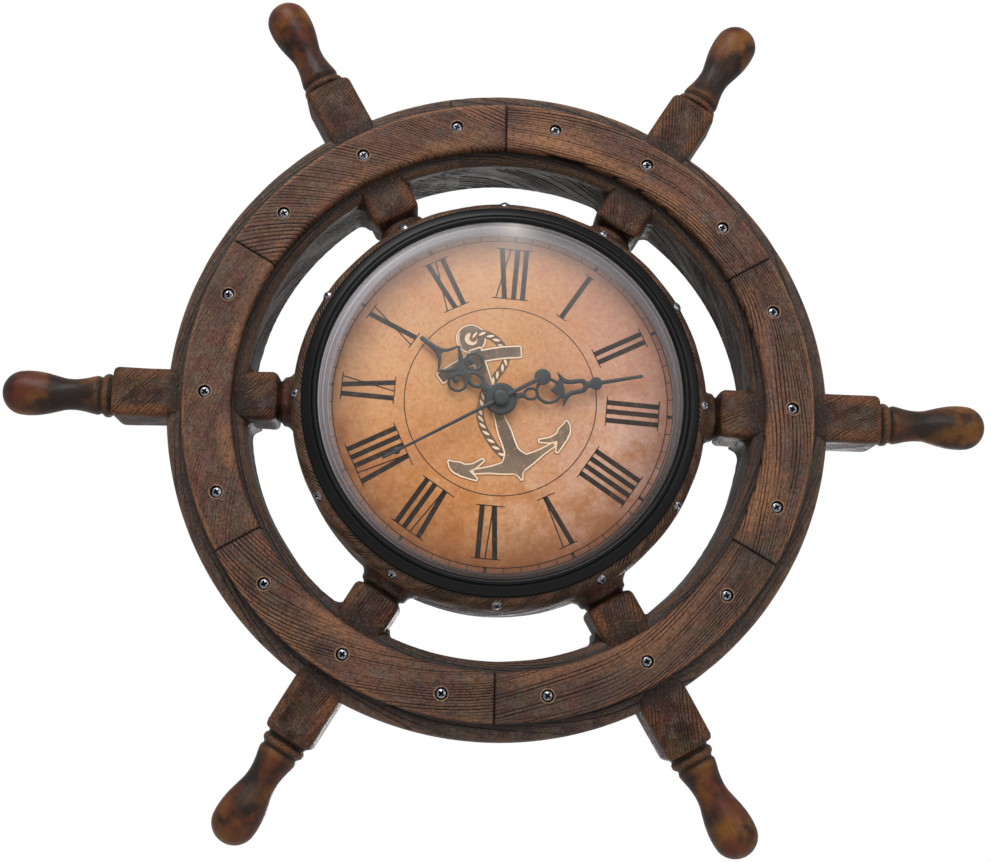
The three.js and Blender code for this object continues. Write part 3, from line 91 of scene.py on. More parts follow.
def carved(line, cut, width=0.35):
    """Depth of the grain's grooves, 0 to 1: a bell curve round the middle of each line."""
    return cut * bell(2 * np.abs(line - np.floor(line) - 0.5), width)


def outline(corners, step, passes):
    """Closed section through corner points, sampled every step and eased: each pass moves every
    point halfway to the middle of its two neighbours. Returns points, outward normals and the
    distance run along the section."""
    corners = np.array(corners, float)
    ends = np.roll(corners, -1, axis=0)
    sides = [
        a + (b - a) * np.arange(0, 1, 1 / max(1, round(np.hypot(*(b - a)) / step)))[:, None]
        for a, b in zip(corners, ends)
    ]
    points = np.concatenate(sides)
    for _ in range(passes):
        points = points / 2 + (np.roll(points, 1, axis=0) + np.roll(points, -1, axis=0)) / 4
    lean = np.roll(points, -1, axis=0) - np.roll(points, 1, axis=0)
    ahead = np.roll(points, -1, axis=0)
    area = np.sum(points[:, 0] * ahead[:, 1] - points[:, 1] * ahead[:, 0])
    normals = np.stack([lean[:, 1], -lean[:, 0]], axis=1) * np.sign(area)
    normals /= np.linalg.norm(normals, axis=1, keepdims=True)
    run = np.concatenate([[0], np.cumsum(np.hypot(*np.diff(points, axis=0).T))])
    return points, normals, run


def swept(section, normals, angles, depth, inward=0.0):
    """Section carried to angles round the wheel, its surface sunk by a depth along its normals and
    moved inward, towards the axis."""
    radius, height = section.T
    return on_wheel(radius - normals[:, 0] * depth - inward, angles, height - normals[:, 1] * depth)


def shell(rings, looped=False, **values):
    """Closed surface over rings of points, shaped (rings, points, 3), or (copies, rings, points, 3):
    every ring closes on itself, quads join neighbouring rings, and the end rings either join each
    other or are closed by a fan to their middle. values hold one number per point. Returns points,
    quads, the fans' triangles and the values."""
    rings = rings.reshape(-1, *rings.shape[-3:])
    copies, count, around = rings.shape[:3]

    def listed(field):
        """A field copy by copy: its values on all rings, then the means of the end rings."""
        rows = field.reshape(copies, -1, *field.shape[3:])
        return rows if looped else np.concatenate([rows, field[:, [0, -1]].mean(axis=2)], axis=1)

    points = listed(rings)
    size = points.shape[1]
    start = np.arange(count if looped else count - 1)[:, None] * around
    ahead = (start + around) % (count * around)
    here = np.arange(around)
    there = np.roll(here, -1)
    quads = np.stack([start + here, start + there, ahead + there, ahead + here], axis=-1).reshape(-1, 4)
    fans = np.empty((0, 3), int)
    if not looped:
        last = (count - 1) * around
        first_fan = np.stack([there, here, np.full(around, size - 2)], axis=-1)
        last_fan = np.stack([last + here, last + there, np.full(around, size - 1)], axis=-1)
        fans = np.concatenate([first_fan, last_fan])
    shift = np.arange(copies)[:, None, None] * size
    carried = {name: listed(np.broadcast_to(v, rings.shape[:3])).ravel() for name, v in values.items()}
    return points.reshape(-1, 3), (quads + shift).reshape(-1, 4), (fans + shift).reshape(-1, 3), carried


def volume(points, faces):
    """Signed volume that faces enclose: a sixth of the sum of corner · (corner × corner)."""
    a, *rest = (points[faces[:, i]] for i in range(faces.shape[1]))
    return sum(np.einsum("ij,ij->", a, np.cross(b, c)) for b, c in zip(rest, rest[1:])) / 6


def added(name, data):
    """A new object in the scene that holds the data."""
    made = bpy.data.objects.new(name, data)
    bpy.context.scene.collection.objects.link(made)
    return made


def piece(name, shells, finish, replaced=(), body="wheel", crease=40):
    """One object from one or more shells, turned to face outwards, with its finish, and tied to the
    CAD frame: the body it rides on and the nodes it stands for."""
    points, faces, values, shift = [], [], {}, 0
    for part, quads, fans, carried in shells:
        outwards = volume(part, quads) + volume(part, fans) > 0
        order = slice(None) if outwards else slice(None, None, -1)
        for corners in (quads, fans):
            faces += (corners[:, order] + shift).tolist()
        points.append(part)
        shift += len(part)
        for key, v in carried.items():
            values.setdefault(key, []).append(v)
    mesh = bpy.data.meshes.new(name)
    mesh.from_pydata(np.concatenate(points), [], faces)
    for key, parts in values.items():
        layer = mesh.attributes.new(key, "FLOAT", "POINT")
        layer.data.foreach_set("value", np.concatenate(parts).astype(np.float32))
    mesh.shade_smooth()
    mesh.set_sharp_from_angle(angle=np.radians(crease))
    mesh.materials.append(finish)
    made = added(name, mesh)
    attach(made, body)
    if replaced:
        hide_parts(*replaced)


class Signal:
    """A socket's value in an expression: each operator adds a Math node to its tree."""

    def __init__(self, finish, socket):
        self.finish = finish
        self.socket = socket

    def math(self, operation, first, second):
        return self.finish.node("Math", {0: first, 1: second}, operation=operation)

    def __add__(self, other):
        return self.math("ADD", self, other)

    def __sub__(self, other):
        return self.math("SUBTRACT", self, other)

    def __rsub__(self, other):
        return self.math("SUBTRACT", other, self)

    def __mul__(self, other):
        return self.math("MULTIPLY", self, other)

    def __pow__(self, other):
        return self.math("POWER", self, other)

    __radd__ = __add__
    __rmul__ = __mul__


class Finish:
    """The node tree of a material or the world while it is written."""

    def __init__(self, owner):
        owner.use_nodes = True
        self.owner = owner
        self.tree = owner.node_tree
        self.tree.nodes.clear()

    def node(self, kind, sockets, output=0, **settings):
        """Adds a node: its settings first, then its sockets by name, identifier or number, each a
        value or a signal. Returns one output as a signal."""
        made = self.tree.nodes.new("ShaderNode" + kind)
        for key, value in settings.items():
            setattr(made, key, value)
        by_key = {s.name: s for s in reversed(made.inputs)}
        by_key.update({s.identifier: s for s in made.inputs})
        by_key.update(enumerate(made.inputs))
        for key, value in sockets.items():
            if isinstance(value, Signal):
                self.tree.links.new(value.socket, by_key[key])
            else:
                by_key[key].default_value = value
        return Signal(self, made.outputs[output]) if made.outputs else None

    def place(self):
        """Object coordinates, in metres."""
        return self.node("TexCoord", {}, "Object")

    def axes(self, vector):
        """The three parts of a vector."""
        return (self.node("SeparateXYZ", {0: vector}, axis) for axis in "XYZ")

    def length(self, vector):
        """The length of a vector."""
        return self.node("VectorMath", {0: vector}, "Value", operation="LENGTH")

    def value(self, name):
        """A number that the mesh carries at its points, or 0 where it carries none."""
        return self.node("Attribute", {}, "Fac", attribute_name=name)

    def noise(self, scale, detail=3.0, rough=0.5, at=None):
        """Cloudy noise of about 0 to 1, scale times per unit of the object's or other coordinates."""
        sockets = {"Vector": at or self.place(), "Scale": scale, "Detail": detail, "Roughness": rough}
        return self.node("TexNoise", sockets, "Fac")

    def level(self, value, low, high, first=0.0, last=1.0):
        """A value's share between low and high, held at the ends, between two other numbers."""
        sockets = {"Value": value, "From Min": low, "From Max": high, "To Min": first, "To Max": last}
        return self.node("MapRange", sockets)

    def mix(self, share, first, second):
        """Colour between two others, each a signal or as the eye reads it, 0 to 255."""
        first, second = (c if isinstance(c, Signal) else tint(*c) for c in (first, second))
        sockets = {"Factor_Float": share, "A_Color": first, "B_Color": second}
        return self.node("Mix", sockets, 2, data_type="RGBA")

    def coats(self, colour, *coats):
        """Colour with coats laid over it in turn: each covers up to a share of what lies below, as
        its value goes from low to high."""
        for value, low, high, share, coat in coats:
            colour = self.mix(self.level(value, low, high) * share, colour, coat)
        return colour

    def bump(self, height, depth, strength=1.0):
        """Normal of a surface that a height from 0 to 1 raises by a depth in metres."""
        return self.node("Bump", {"Strength": strength, "Distance": depth, "Height": height})

    def shader(self, kind, **sockets):
        """A shader, its sockets named with underscores for spaces."""
        return self.node(kind, {key.replace("_", " "): value for key, value in sockets.items()})

    def blend(self, share, first, second):
        """A shader between two others."""
        return self.node("MixShader", {0: share, 1: first, 2: second})

    def surface(self, **sockets):
        """One Principled shader on the output. Returns the finished material."""
        self.shader("OutputMaterial", Surface=self.shader("BsdfPrincipled", **sockets))
        return self.owner


def new_finish(name):
    """The empty node tree of a new material."""
    return Finish(bpy.data.materials.new(name))


def wood(name, dark, warm, rubbed, soot_and_shade, shine=0.46, gloss=0.17, width=0.24):
    """Stained and rubbed wood: brown clouds with red and olive blotches, streaks and pits along the
    grain, thin carved lines stained dark, edges rubbed to the lighter wood, dirt and painted shade in
    corners, creases and recesses, and red, olive and black staining under the polish of the handles."""
    finish = new_finish(name)
    line, cut, along, across = (finish.value(key) for key in ("line", "cut", "along", "across"))
    stain, worn, grime, polish = (finish.value(key) for key in ("stain", "worn", "grime", "polish"))
    rough = 1.0 - 0.8 * polish
    share = finish.node("Math", {0: line}, operation="FRACT")
    offset = finish.node("Math", {0: 2.0 * share - 1.0}, operation="ABSOLUTE")
    groove = finish.level(offset, width, 0.3 * width) * cut
    lay = finish.node("CombineXYZ", {"X": along * 0.12, "Y": across})
    fibres = finish.noise(1.9, 4.0, 0.7, lay)
    blotches = finish.noise(140.0, 5.0, 0.65)
    specks = finish.noise(1000.0, 4.0, 0.75)
    oiled = finish.coats(
        (80, 35, 22),
        (finish.noise(85.0, 2.0) + 0.2 * worn, 0.44, 0.66, 1.0, (104, 64, 18)),
        (finish.noise(120.0, 3.0) + 0.2 * grime, 0.46, 0.66, 1.0, (26, 17, 14)),
    )
    colour = finish.coats(
        dark,
        (finish.noise(32.0, 3.0), 0.36, 0.64, 1.0, warm),
        (blotches, 0.48, 0.62, 0.45, (96, 50, 41)),
        (finish.noise(75.0, 4.0, 0.6), 0.47, 0.6, 0.5, (88, 70, 46)),
        (finish.noise(190.0, 4.0), 0.5, 0.64, 0.4 * rough, (86, 77, 71)),
        (worn + 0.9 * blotches, 0.55, 1.25, 1.0, rubbed),
        (polish, 0.0, 1.0, 0.8, oiled),
        # grime: dirt, and painted shade in corners, creases and recesses, in the soot_and_shade colour.
        (grime, 0.0, 1.0, 1.0, soot_and_shade),
        (specks, 0.54, 0.68, 0.3 * rough, (140, 104, 80)),
        (fibres, 0.47, 0.62, 0.5 * rough, (32, 20, 15)),
        (specks, 0.5, 0.36, 0.7 * rough, (24, 15, 11)),
        # Carved lines and stain: dark stain in the lines and seams, and painted shadow beside the plates, in
        # the screw seats and in the turned necks.
        (groove * 1.3 + stain, 0.0, 1.0, 0.95, (14, 10, 8)),
    )
    return finish.surface(
        Base_Color=colour,
        Roughness=finish.level(blotches, 0.3, 0.7, shine - 0.08, shine + 0.12),
        Normal=finish.bump(0.5 * (fibres + specks) * rough - 0.8 * groove, 0.0005),
        Specular_IOR_Level=gloss,
        Coat_Weight=polish * 0.06,
        Coat_Roughness=0.3,
    )


RIM_INNER, PLATE_INNER, PLATE_OUTER, RIM_OUTER = 97.1, 101.5, 120.3, 127.0
RIM_BACK, RIM_FRONT = -20.0, 7.1
SHOULDER_WIDE, SHOULDER_TALL, STEP_ROUND = 6.7, 4.2, 4.3
FIRST_SPOKE, BAR_HALF_WIDTH, WINDOW_FILLET = np.radians(30.64), 9.6, 4.0
BRACKET_RADIUS, POCKET_EDGE = 112.05, 0.7
RECESS_HALF, POCKET_HALF = (17.9, 8.4), (12.4, 5.4)
RECESS_DEPTH, POCKET_DEPTH = 1.4, 4.5
quarter = np.linspace(0, np.pi / 2, 7)
section, normals, _ = outline([
    (RIM_OUTER, RIM_BACK),
    *zip(PLATE_OUTER + SHOULDER_WIDE * np.cos(quarter), RIM_FRONT + SHOULDER_TALL * (np.sin(quarter) - 1)),
    *zip(PLATE_INNER - STEP_ROUND * np.sin(quarter), RIM_FRONT + STEP_ROUND * (np.cos(quarter) - 1)),
    (RIM_INNER + 0.6, 1.6),
    (RIM_INNER, 0.9),
    (RIM_INNER, RIM_BACK),
], 0.8, 2)
by_bracket, elsewhere = np.linspace(-10, 10, 140, endpoint=False), np.linspace(10, 350, 560, endpoint=False)
angles = np.radians(np.concatenate([by_bracket, elsewhere]))[:, None]
radius, height = section.T
inside = step_up(radius, 98.6, 97.4) * step_up(height, 1.6, -0.2)
sideways = angles * radius
chisel_line, chisel_cut = grain(11, sideways, 0.5 * sideways + 0.87 * height, 2.2, 2.0)
fine_line, fine_cut = grain(17, sideways, radius + height + 0.1 * sideways, 2.3, 1.2)
line = np.where(inside > 0.5, chisel_line, fine_line)
cut = np.where(inside > 0.5, chisel_cut, 0.8 * fine_cut) * np.abs(2 * inside - 1)
depth = carved(line, cut, 0.45) * (0.2 + 0.4 * inside)
depth = depth + inside * 0.25 * (1 + ripple(5, sideways / 7, height / 6))
depth = depth * step_up(height, RIM_BACK, RIM_BACK + 1.5)
off_spoke = np.abs((angles - FIRST_SPOKE + TURN / 12) % (TURN / 6) - TURN / 12)
beside = off_spoke * RIM_INNER - BAR_HALF_WIDTH
fillet = np.clip(1 - beside / WINDOW_FILLET, 0, 1)
filled = inside * WINDOW_FILLET * (1 - np.sqrt(1 - fillet**2)) * (beside > -1.5)
behind = (normals[:, 1] < -0.9) * (np.cos(angles) > 0.9)
off_x, off_z = np.abs(radius * np.sin(angles)), np.abs(radius * np.cos(angles) - BRACKET_RADIUS)
recess, pocket = (
    step_up(off_x, wide, wide - POCKET_EDGE) * step_up(off_z, tall, tall - POCKET_EDGE)
    for wide, tall in (RECESS_HALF, POCKET_HALF)
)
depth = depth * (1 - behind * recess) + behind * (RECESS_DEPTH * recess + POCKET_DEPTH * pocket)
# painted_top_sheen: painted light, the inner wall made lighter towards the top as if lit from below.
painted_top_sheen = step_up(np.cos(angles + 0.4), -0.4, 0.9)
arris = bell(np.hypot(radius - 98.2, height - 5.6), 2.2)
shoulder = bell(np.hypot(radius - 126.2, height - 4.4), 2.4)
# rubbed_and_sheen: rubbed arris and shoulder, and the painted sheen on the upper inner wall.
rubbed_and_sheen = 0.9 * arris + 0.8 * shoulder + 0.3 * inside * painted_top_sheen
# shade_by_plate and plate_edge_shadow: painted shade on the step and shoulder beside the plates, and painted
# shadow lines just along their edges.
shade_by_plate = bell(radius - PLATE_INNER, 2.6) + 0.7 * bell(radius - PLATE_OUTER, 3.0)
plate_edge_shadow = 0.5 * bell(radius - PLATE_INNER + 0.9, 1.2) + 0.3 * bell(radius - PLATE_OUTER - 1.1, 1.2)
rim_ring = shell(
    swept(section, normals, angles, depth, filled),
    looped=True,
    line=line,
    cut=cut,
    stain=plate_edge_shadow * (height > 4),
    worn=rubbed_and_sheen * (0.7 + 0.5 * ripple(3, sideways / 16, height / 9)),
    # grime: a darker tone all over, more of it on the inner wall, and the painted shade beside the plates.
    grime=np.clip(0.3 + 0.5 * inside + 0.6 * shade_by_plate * (1 - inside) * (height > 0), 0, 1),
    along=sideways,
    across=radius + height,
)
dark_wood = wood("dark_wood", (42, 28, 23), (62, 41, 32), (104, 74, 52), (55, 49, 47))
piece("rim_ring_carved", [rim_ring], dark_wood, ["rim_ring"])

# Rim plates: six curved boards that lap over the spokes and butt at dark seams, each screwed down
# with three screws. Their grain is cut in by hand, and the edges are rubbed to an ochre brown.
PLATE_FRONT = 12.4
SCREW_CIRCLE = 111.5
SCREW_ANGLES = np.radians(10 + 20 * np.arange(18))
SEAM_HALF, SEAM_DEPTH, SEAM_EASE, SEAT_DEPTH = 0.14, 0.35, 0.35, 1.9
plate_section, plate_normals, _ = outline([
    (PLATE_INNER, RIM_FRONT + 0.1),
    (PLATE_OUTER, RIM_FRONT + 0.1),
    (PLATE_OUTER, PLATE_FRONT - 1.5),
    (PLATE_OUTER - 0.5, PLATE_FRONT - 0.5),
    (PLATE_OUTER - 1.6, PLATE_FRONT),
    (PLATE_INNER + 1.6, PLATE_FRONT),
    (PLATE_INNER + 0.5, PLATE_FRONT - 0.5),
    (PLATE_INNER, PLATE_FRONT - 1.5),
], 0.37, 3)


def rim_plate(number, lean, bow, keen, dark):
    """One plate: the rounded section swept over a sixth of a turn. Its grain lines run at a lean to the
    chord, bowed by the square of the distance along it and cut more or less keenly. dark is how much
    darker the whole plate is coloured; the screw seats and the plate's lower sides get painted shade."""
    middle = np.radians(60 * number - 30)
    reach = TURN / 12 - SEAM_HALF / SCREW_CIRCLE
    angles = np.linspace(-reach, reach, 300)[:, None]
    radius, height = plate_section.T
    chord, rise = radius * np.sin(angles), radius * np.cos(angles) - SCREW_CIRCLE
    along = chord * np.cos(lean) + rise * np.sin(lean)
    across = rise * np.cos(lean) - chord * np.sin(lean) + bow * (chord / 30) ** 2
    face = plate_normals[:, 1] * step_up(height, PLATE_FRONT - 2, PLATE_FRONT - 0.3)
    line, cut = grain(40 * number, along, across, 1.2, 1.8)
    cut = keen * cut
    seam = np.abs(angles) * radius - reach * radius
    turn = (angles + middle - SCREW_ANGLES[3 * number - 3 : 3 * number, None, None]) * radius
    seat = np.hypot(radius - SCREW_CIRCLE, turn).min(axis=0)
    edge_in = bell(radius - PLATE_INNER - 2.5, 4.5)
    edge_out = bell(radius - PLATE_OUTER + 0.9, 0.7) * step_up(height, 11.2, 12)
    drop = face * (0.3 * carved(line, cut) + 0.12 * (1 + ripple(number, chord / 12, rise / 7)))
    drop = drop + SEAM_DEPTH * bell(seam, SEAM_EASE) + face * SEAT_DEPTH * step_up(seat, 2.75, 2.3)
    patchy = 0.4 * bell(seam, 7) * (0.6 + 0.5 * ripple(number + 5, rise / 5))
    return shell(
        swept(plate_section, plate_normals, angles + middle, drop),
        line=line,
        cut=cut,
        # stain: the plate's own darker stain and its dark seams, plus painted shade in the screw seats.
        stain=np.clip(dark + bell(seam, SEAM_EASE) + step_up(seat, 2.8, 2.5), 0, 1),
        worn=np.clip(0.5 * edge_in + 0.8 * edge_out + 0.3 * ripple(number + 9, chord / 17, rise / 8), 0, 1),
        # grime: dirt in patches by the seams, plus painted shade on the plate's sides down towards the ring.
        grime=np.clip(patchy + 0.8 * step_up(height, 9.5, 8), 0, 1),
        along=along,
        across=across,
    )


worn_wood = wood("worn_wood", (62, 41, 34), (94, 62, 50), (128, 87, 60), (38, 30, 27), width=0.3)
PLATE_GRAIN = [
    (3, 4.0, 1.0, 0.0), (4, 3.5, 0.9, 0.08), (8, 4.0, 0.9, 0.3),
    (15, 4.0, 1.0, 0.14), (-24, 3.0, 0.4, 0.04), (-42, 3.5, 0.9, 0.07),
]
for number, (lean, *cuts) in enumerate(PLATE_GRAIN, 1):
    board = rim_plate(number, np.radians(lean), *cuts)
    piece(f"rim_plate_carved_{number}", [board], worn_wood, [f"rim_plate_{number}"])

# Spokes: square bars, each turned on a lathe to a tenon and collar at the hub and to a bead, waist
# and bulb outside the rim. The bars carry cut grain; the handles are smooth and polished by hands.
BAR_HALF_DEPTH = 11.3
BAR_START, BAR_END, END_EDGE = 84.4, 148.0, 3.0
TENON_END, TENON_RADIUS = 75.5, 5.0
BULB_MIDDLE, BULB_RADIUS, TIP = 182.8, 8.5, 190.9
SPOKE_MIDDLE = RIM_FRONT - BAR_HALF_DEPTH
SPOKE_SKEWS = [1.15, 0.66, 0.3, 0.68, 0.31, 0.71]
SPOKE_GRAIN = [(20, 0.0), (22, 0.0), (-18, 0.0), (-4, 0.04), (36, 0.0), (-55, 0.0)]


def full_turn(count):
    """Angles spread evenly over one turn."""
    return np.linspace(0, TURN, count, endpoint=False)


def fair(at, knots, values):
    """Smooth curve through knots: a cubic on each span whose end slopes are those of its neighbours."""
    knots, values = np.array(knots, float), np.array(values, float)
    slope = np.gradient(values, knots)
    i = np.clip(np.searchsorted(knots, at) - 1, 0, len(knots) - 2)
    span = knots[i + 1] - knots[i]
    t = np.clip((at - knots[i]) / span, 0, 1)
    start = (1 + 2 * t) * values[i] + t * span * slope[i]
    stop = (3 - 2 * t) * values[i + 1] + (t - 1) * span * slope[i + 1]
    return (1 - t) ** 2 * start + t**2 * stop


def lathe_radius(along):
    """Radius that the lathe leaves: tenon, flared collar, neck, the bar untouched, then bead, groove,
    waist, bulb and a rounded tip."""
    knots, radii = zip(
        (74, 12.6), (78.6, 12.2), (79.6, 11.2), (80.6, 10.2), (81.6, 9.7), (82.4, 9.6), (83.0, 9.3),
        (83.6, 8.5), (84.1, 8.1), (84.6, 8.3), (85.2, 12.0), (86.0, 16.0), (146.4, 16.0), (147.2, 12.0),
        (147.9, 8.3), (148.3, 7.7), (148.9, 7.6), (149.6, 8.2), (150.6, 8.4), (151.5, 8.2), (152.3, 7.5),
        (153.0, 7.0), (153.6, 7.2), (154.4, 7.5), (156.0, 7.3), (159.4, 6.5), (163.0, 6.0), (166.5, 6.1),
        (170.4, 7.0), (173.6, 7.8), (176.6, 8.35), (179.5, 8.6), (182.0, 8.6), (183.5, 8.45),
    )
    past_middle = (along - BULB_MIDDLE) / (TIP - BULB_MIDDLE)
    bulb = BULB_RADIUS * np.sqrt(np.clip(1 - past_middle**2, 0, 1))
    turned = np.where(along < 183.2, fair(along, knots, radii), bulb)
    return np.where(along < TENON_END, TENON_RADIUS, turned)


def spoke(number, lean, fan):
    """One spoke: at each distance from the hub a rounded square, no larger than the lathe leaves,
    with grain lines that run round it at a lean to its length and spread by fan towards the rim."""
    spans = [
        (72.6, 75.4, 3), (75.6, 82.6, 14), (82.9, 90, 26), (90.5, 143, 106), (143.4, 155, 48),
        (155.5, 183, 50),
    ]
    tip = TIP - 7.5 * (1 - np.sin(np.linspace(0.02, np.pi / 2, 22)))
    along = np.concatenate([np.linspace(*span) for span in spans] + [tip])[:, None]
    side = full_turn(132) - np.pi / 2
    across, front = np.cos(side), np.sin(side)
    end = np.clip(np.minimum(along - BAR_START, BAR_END - along) / END_EDGE, 0, 1)
    eased = END_EDGE * (1 - np.sqrt(1 - (1 - end) ** 2))
    wide, deep = BAR_HALF_WIDTH - eased, BAR_HALF_DEPTH - eased
    square = ((np.abs(across) / wide) ** 8 + (np.abs(front) / deep) ** 8) ** (-1 / 8)
    square = np.where((along > BAR_START) & (along < BAR_END), square, BAR_HALF_WIDTH + BAR_HALF_DEPTH)
    size = -np.logaddexp(-6 * square, -6 * lathe_radius(along)) / 6
    bar = step_up(along, 84.6, 86) * step_up(along, 147.8, 146.4)
    under_rim = bell(along - 98.5, 4) + bell(along - 122.5, 4, 4)
    skin = (side - np.pi / 2) * BAR_HALF_WIDTH
    lay = along * np.cos(lean) + skin * np.sin(lean)
    cross = skin * np.cos(lean) - (along - BAR_END) * np.sin(lean)
    cross = cross * (1 + 25 * fan) / (1 + fan * np.clip(BAR_END - along, 0, 25))
    line, cut = grain(300 + 20 * number, lay, cross, 0.95, 1.2)
    cut = cut * (0.2 + 0.5 * bar) * (1 - 0.9 * np.clip(under_rim, 0, 1))
    wave = bar * 0.18 * ripple(30 + number, along / 9, 2 * across, 2 * front)
    size = size - 0.2 * bar * carved(line, cut, 0.5) - wave
    corner = step_up(size, 11.6, 13.2)
    ends = bell(along - 85.6, 1.0) + bell(along - 146.8, 1.0)
    beads = bell(along - 150.6, 0.9) + 0.6 * bell(along - 155.0, 1.1)
    # neck_shade: painted shade in the turned neck grooves.
    neck_shade = bell(along - 84.0, 0.9) + bell(along - 148.5, 0.7) + bell(along - 152.9, 0.7)
    bulb = step_up(along, 172, 182)
    mottle = ripple(60 + number, along / 8, 1.5 * across, 1.5 * front)
    waist = bell(along - 164, 8) * step_up(mottle + 0.7, 0.0, 0.9)
    bare_bar = bar * corner * (0.5 + 0.4 * mottle) + 0.6 * ends * (0.6 + 0.5 * mottle)
    bare_handle = 0.7 * beads + bulb * (0.45 + 0.5 * mottle)
    angle = np.radians(60 * number - 30 + SPOKE_SKEWS[number - 1])
    return shell(
        on_wheel(along, angle, SPOKE_MIDDLE + size * front, size * across),
        line=line,
        cut=cut,
        stain=np.clip(0.8 * neck_shade, 0, 1),
        worn=np.clip(bare_bar + bare_handle, 0, 1),
        # grime: darker where the spoke runs under the plates' edges, partly stain and partly painted shade,
        # and dark burn patches at the waist.
        grime=np.clip(0.1 + 0.75 * under_rim + 0.8 * waist, 0, 1),
        along=lay,
        across=cross,
        polish=step_up(along, 149, 157),
    )


handle_wood = wood("handle_wood", (34, 22, 18), (60, 36, 27), (96, 60, 38), (32, 26, 23), 0.38, 0.1, 0.3)
for number, (lean, fan) in enumerate(SPOKE_GRAIN, 1):
    turned_bar = spoke(number, np.radians(lean), fan)
    piece(f"spoke_turned_{number}", [turned_bar], handle_wood, [f"spoke_{number}"])

# Hub ring: the thick wooden ring that takes the spokes and is bored for the clock. Its front edge is
# rounded over and cut all round with short slanting strokes.
HUB_BORE, HUB_EDGE, HUB_OUTER, HUB_FRONT, HUB_ROUND = 69.4, 75.3, 79.6, 15.0, 11.0
quarter = np.linspace(0, np.pi / 2, 9)
section, normals, run = outline([
    (HUB_BORE, RIM_BACK),
    (HUB_OUTER, RIM_BACK),
    *zip(HUB_EDGE + (HUB_OUTER - HUB_EDGE) * np.cos(quarter), HUB_FRONT + HUB_ROUND * (np.sin(quarter) - 1)),
    (HUB_BORE, HUB_FRONT),
], 0.6, 2)
angles = full_turn(640)[:, None] + FIRST_SPOKE
radius, height = section.T
sideways = angles * HUB_OUTER
bevel = step_up(radius, 74.6, 75.6)
along, across = 0.7 * sideways - 0.7 * run, 0.7 * sideways + 0.7 * run
line, cut = grain(71, along, across, 1.2, 0.8)
depth = bevel * (0.35 * carved(line, cut, 0.45) + 0.12 * (1 + ripple(8, sideways / 6, height / 5)))
depth = depth * step_up(height, RIM_BACK, RIM_BACK + 1.5)
hub_ring = shell(
    swept(section, normals, angles, depth),
    looped=True,
    line=line,
    cut=bevel * cut,
    stain=0.0,
    worn=bevel * (0.5 * bell(height - 6, 5) + 0.25) * (0.8 + 0.5 * ripple(4, sideways / 14)),
    # grime: darker towards the back and away from the rounded edge.
    grime=np.clip(0.5 * step_up(height, 1.5, -4) + 0.4 * (1 - bevel), 0, 1),
    along=along,
    across=across,
)
hub_wood = wood("hub_wood", (50, 35, 28), (74, 52, 41), (116, 84, 62), (44, 36, 32), width=0.5)
piece("hub_ring_carved", [hub_ring], hub_wood, ["hub_ring"])

# Screws: eighteen cross-slotted steel screws sunk in the rim plates, each in a bored seat whose rim
# is rubbed pale, and twelve more that stand out of the hub's rounded edge.
SEAT_RADIUS, SEAT_LIP = 2.62, 0.3
HUB_SCREW_CIRCLE, HUB_SCREW_HEIGHT, HUB_SCREW_TILT = 77.5, 12.9, np.radians(48)
HUB_SCREW_ANGLES = np.radians(30 * np.arange(12))


def placed(x, y, z, circle, angle, height, tilt):
    """Small turned shapes set round the wheel: local x runs along the circle, z stands out of the
    face and leans outwards by the tilt, and y is square to both."""
    angle = np.reshape(angle, (-1, 1, 1))
    out = circle + y * np.cos(tilt) + z * np.sin(tilt)
    front = height - y * np.sin(tilt) + z * np.cos(tilt)
    return on_wheel(out, angle, front, x)


def screw_heads(size, dome, slot, circle, angles, height, tilt):
    """Domed heads on a grid of rings and angles, each with a cross cut in it: the dome falls with
    the square of the distance from the middle, and the cross is two tapered bars."""
    ring = np.concatenate([[1.0, 1.0, 0.97], np.linspace(0.93, 0.02, 15)])[:, None]
    turn = full_turn(40)
    spin = np.reshape(np.random.default_rng(2).uniform(0, np.pi, len(angles)), (-1, 1, 1))
    bar = np.minimum(np.abs(np.cos(turn + spin)), np.abs(np.sin(turn + spin))) * ring
    cut = step_up(bar, 0.2, 0.1) * step_up(ring, 0.66, 0.45)
    z = dome * (1 - ring**2) - slot * cut
    z[..., 0, :] = -1.5 * dome
    x, y = size * ring * np.cos(turn), size * ring * np.sin(turn)
    return shell(placed(x, y, z, circle, angles, height, tilt), groove=cut)


screw_steel = new_finish("screw_steel")
smudge = screw_steel.noise(900.0, 4.0, 0.6)
bare_steel = screw_steel.mix(smudge, (62, 62, 68), (158, 158, 166))
screw_steel = screw_steel.surface(
    # The cross slots are coloured near black: painted shade in the slots.
    Base_Color=screw_steel.coats(bare_steel, (screw_steel.value("groove"), 0.2, 0.9, 1.0, (16, 16, 18))),
    Metallic=1.0,
    Roughness=screw_steel.level(smudge, 0.3, 0.7, 0.16, 0.34),
)
rim_heads = screw_heads(2.0, 0.55, 0.7, SCREW_CIRCLE, SCREW_ANGLES, PLATE_FRONT - 0.95, 0.0)
piece("rim_screws", [rim_heads], screw_steel)

turn, lip = full_turn(36), full_turn(10)[:, None]
lip_radius = SEAT_RADIUS + SEAT_LIP * np.cos(lip)
seats = placed(
    lip_radius * np.cos(turn), lip_radius * np.sin(turn), SEAT_LIP * np.sin(lip),
    SCREW_CIRCLE, SCREW_ANGLES, PLATE_FRONT - 0.25, 0.0,
)
seat_rims = shell(
    seats, looped=True, line=0.0, cut=0.0, stain=0.0, worn=1.0, grime=0.0, along=10 * lip, across=3 * turn
)
rubbed_seat = wood("rubbed_seat", (72, 52, 40), (96, 72, 56), (128, 100, 78), (38, 30, 26))
piece("rim_screw_seats", [seat_rims], rubbed_seat)

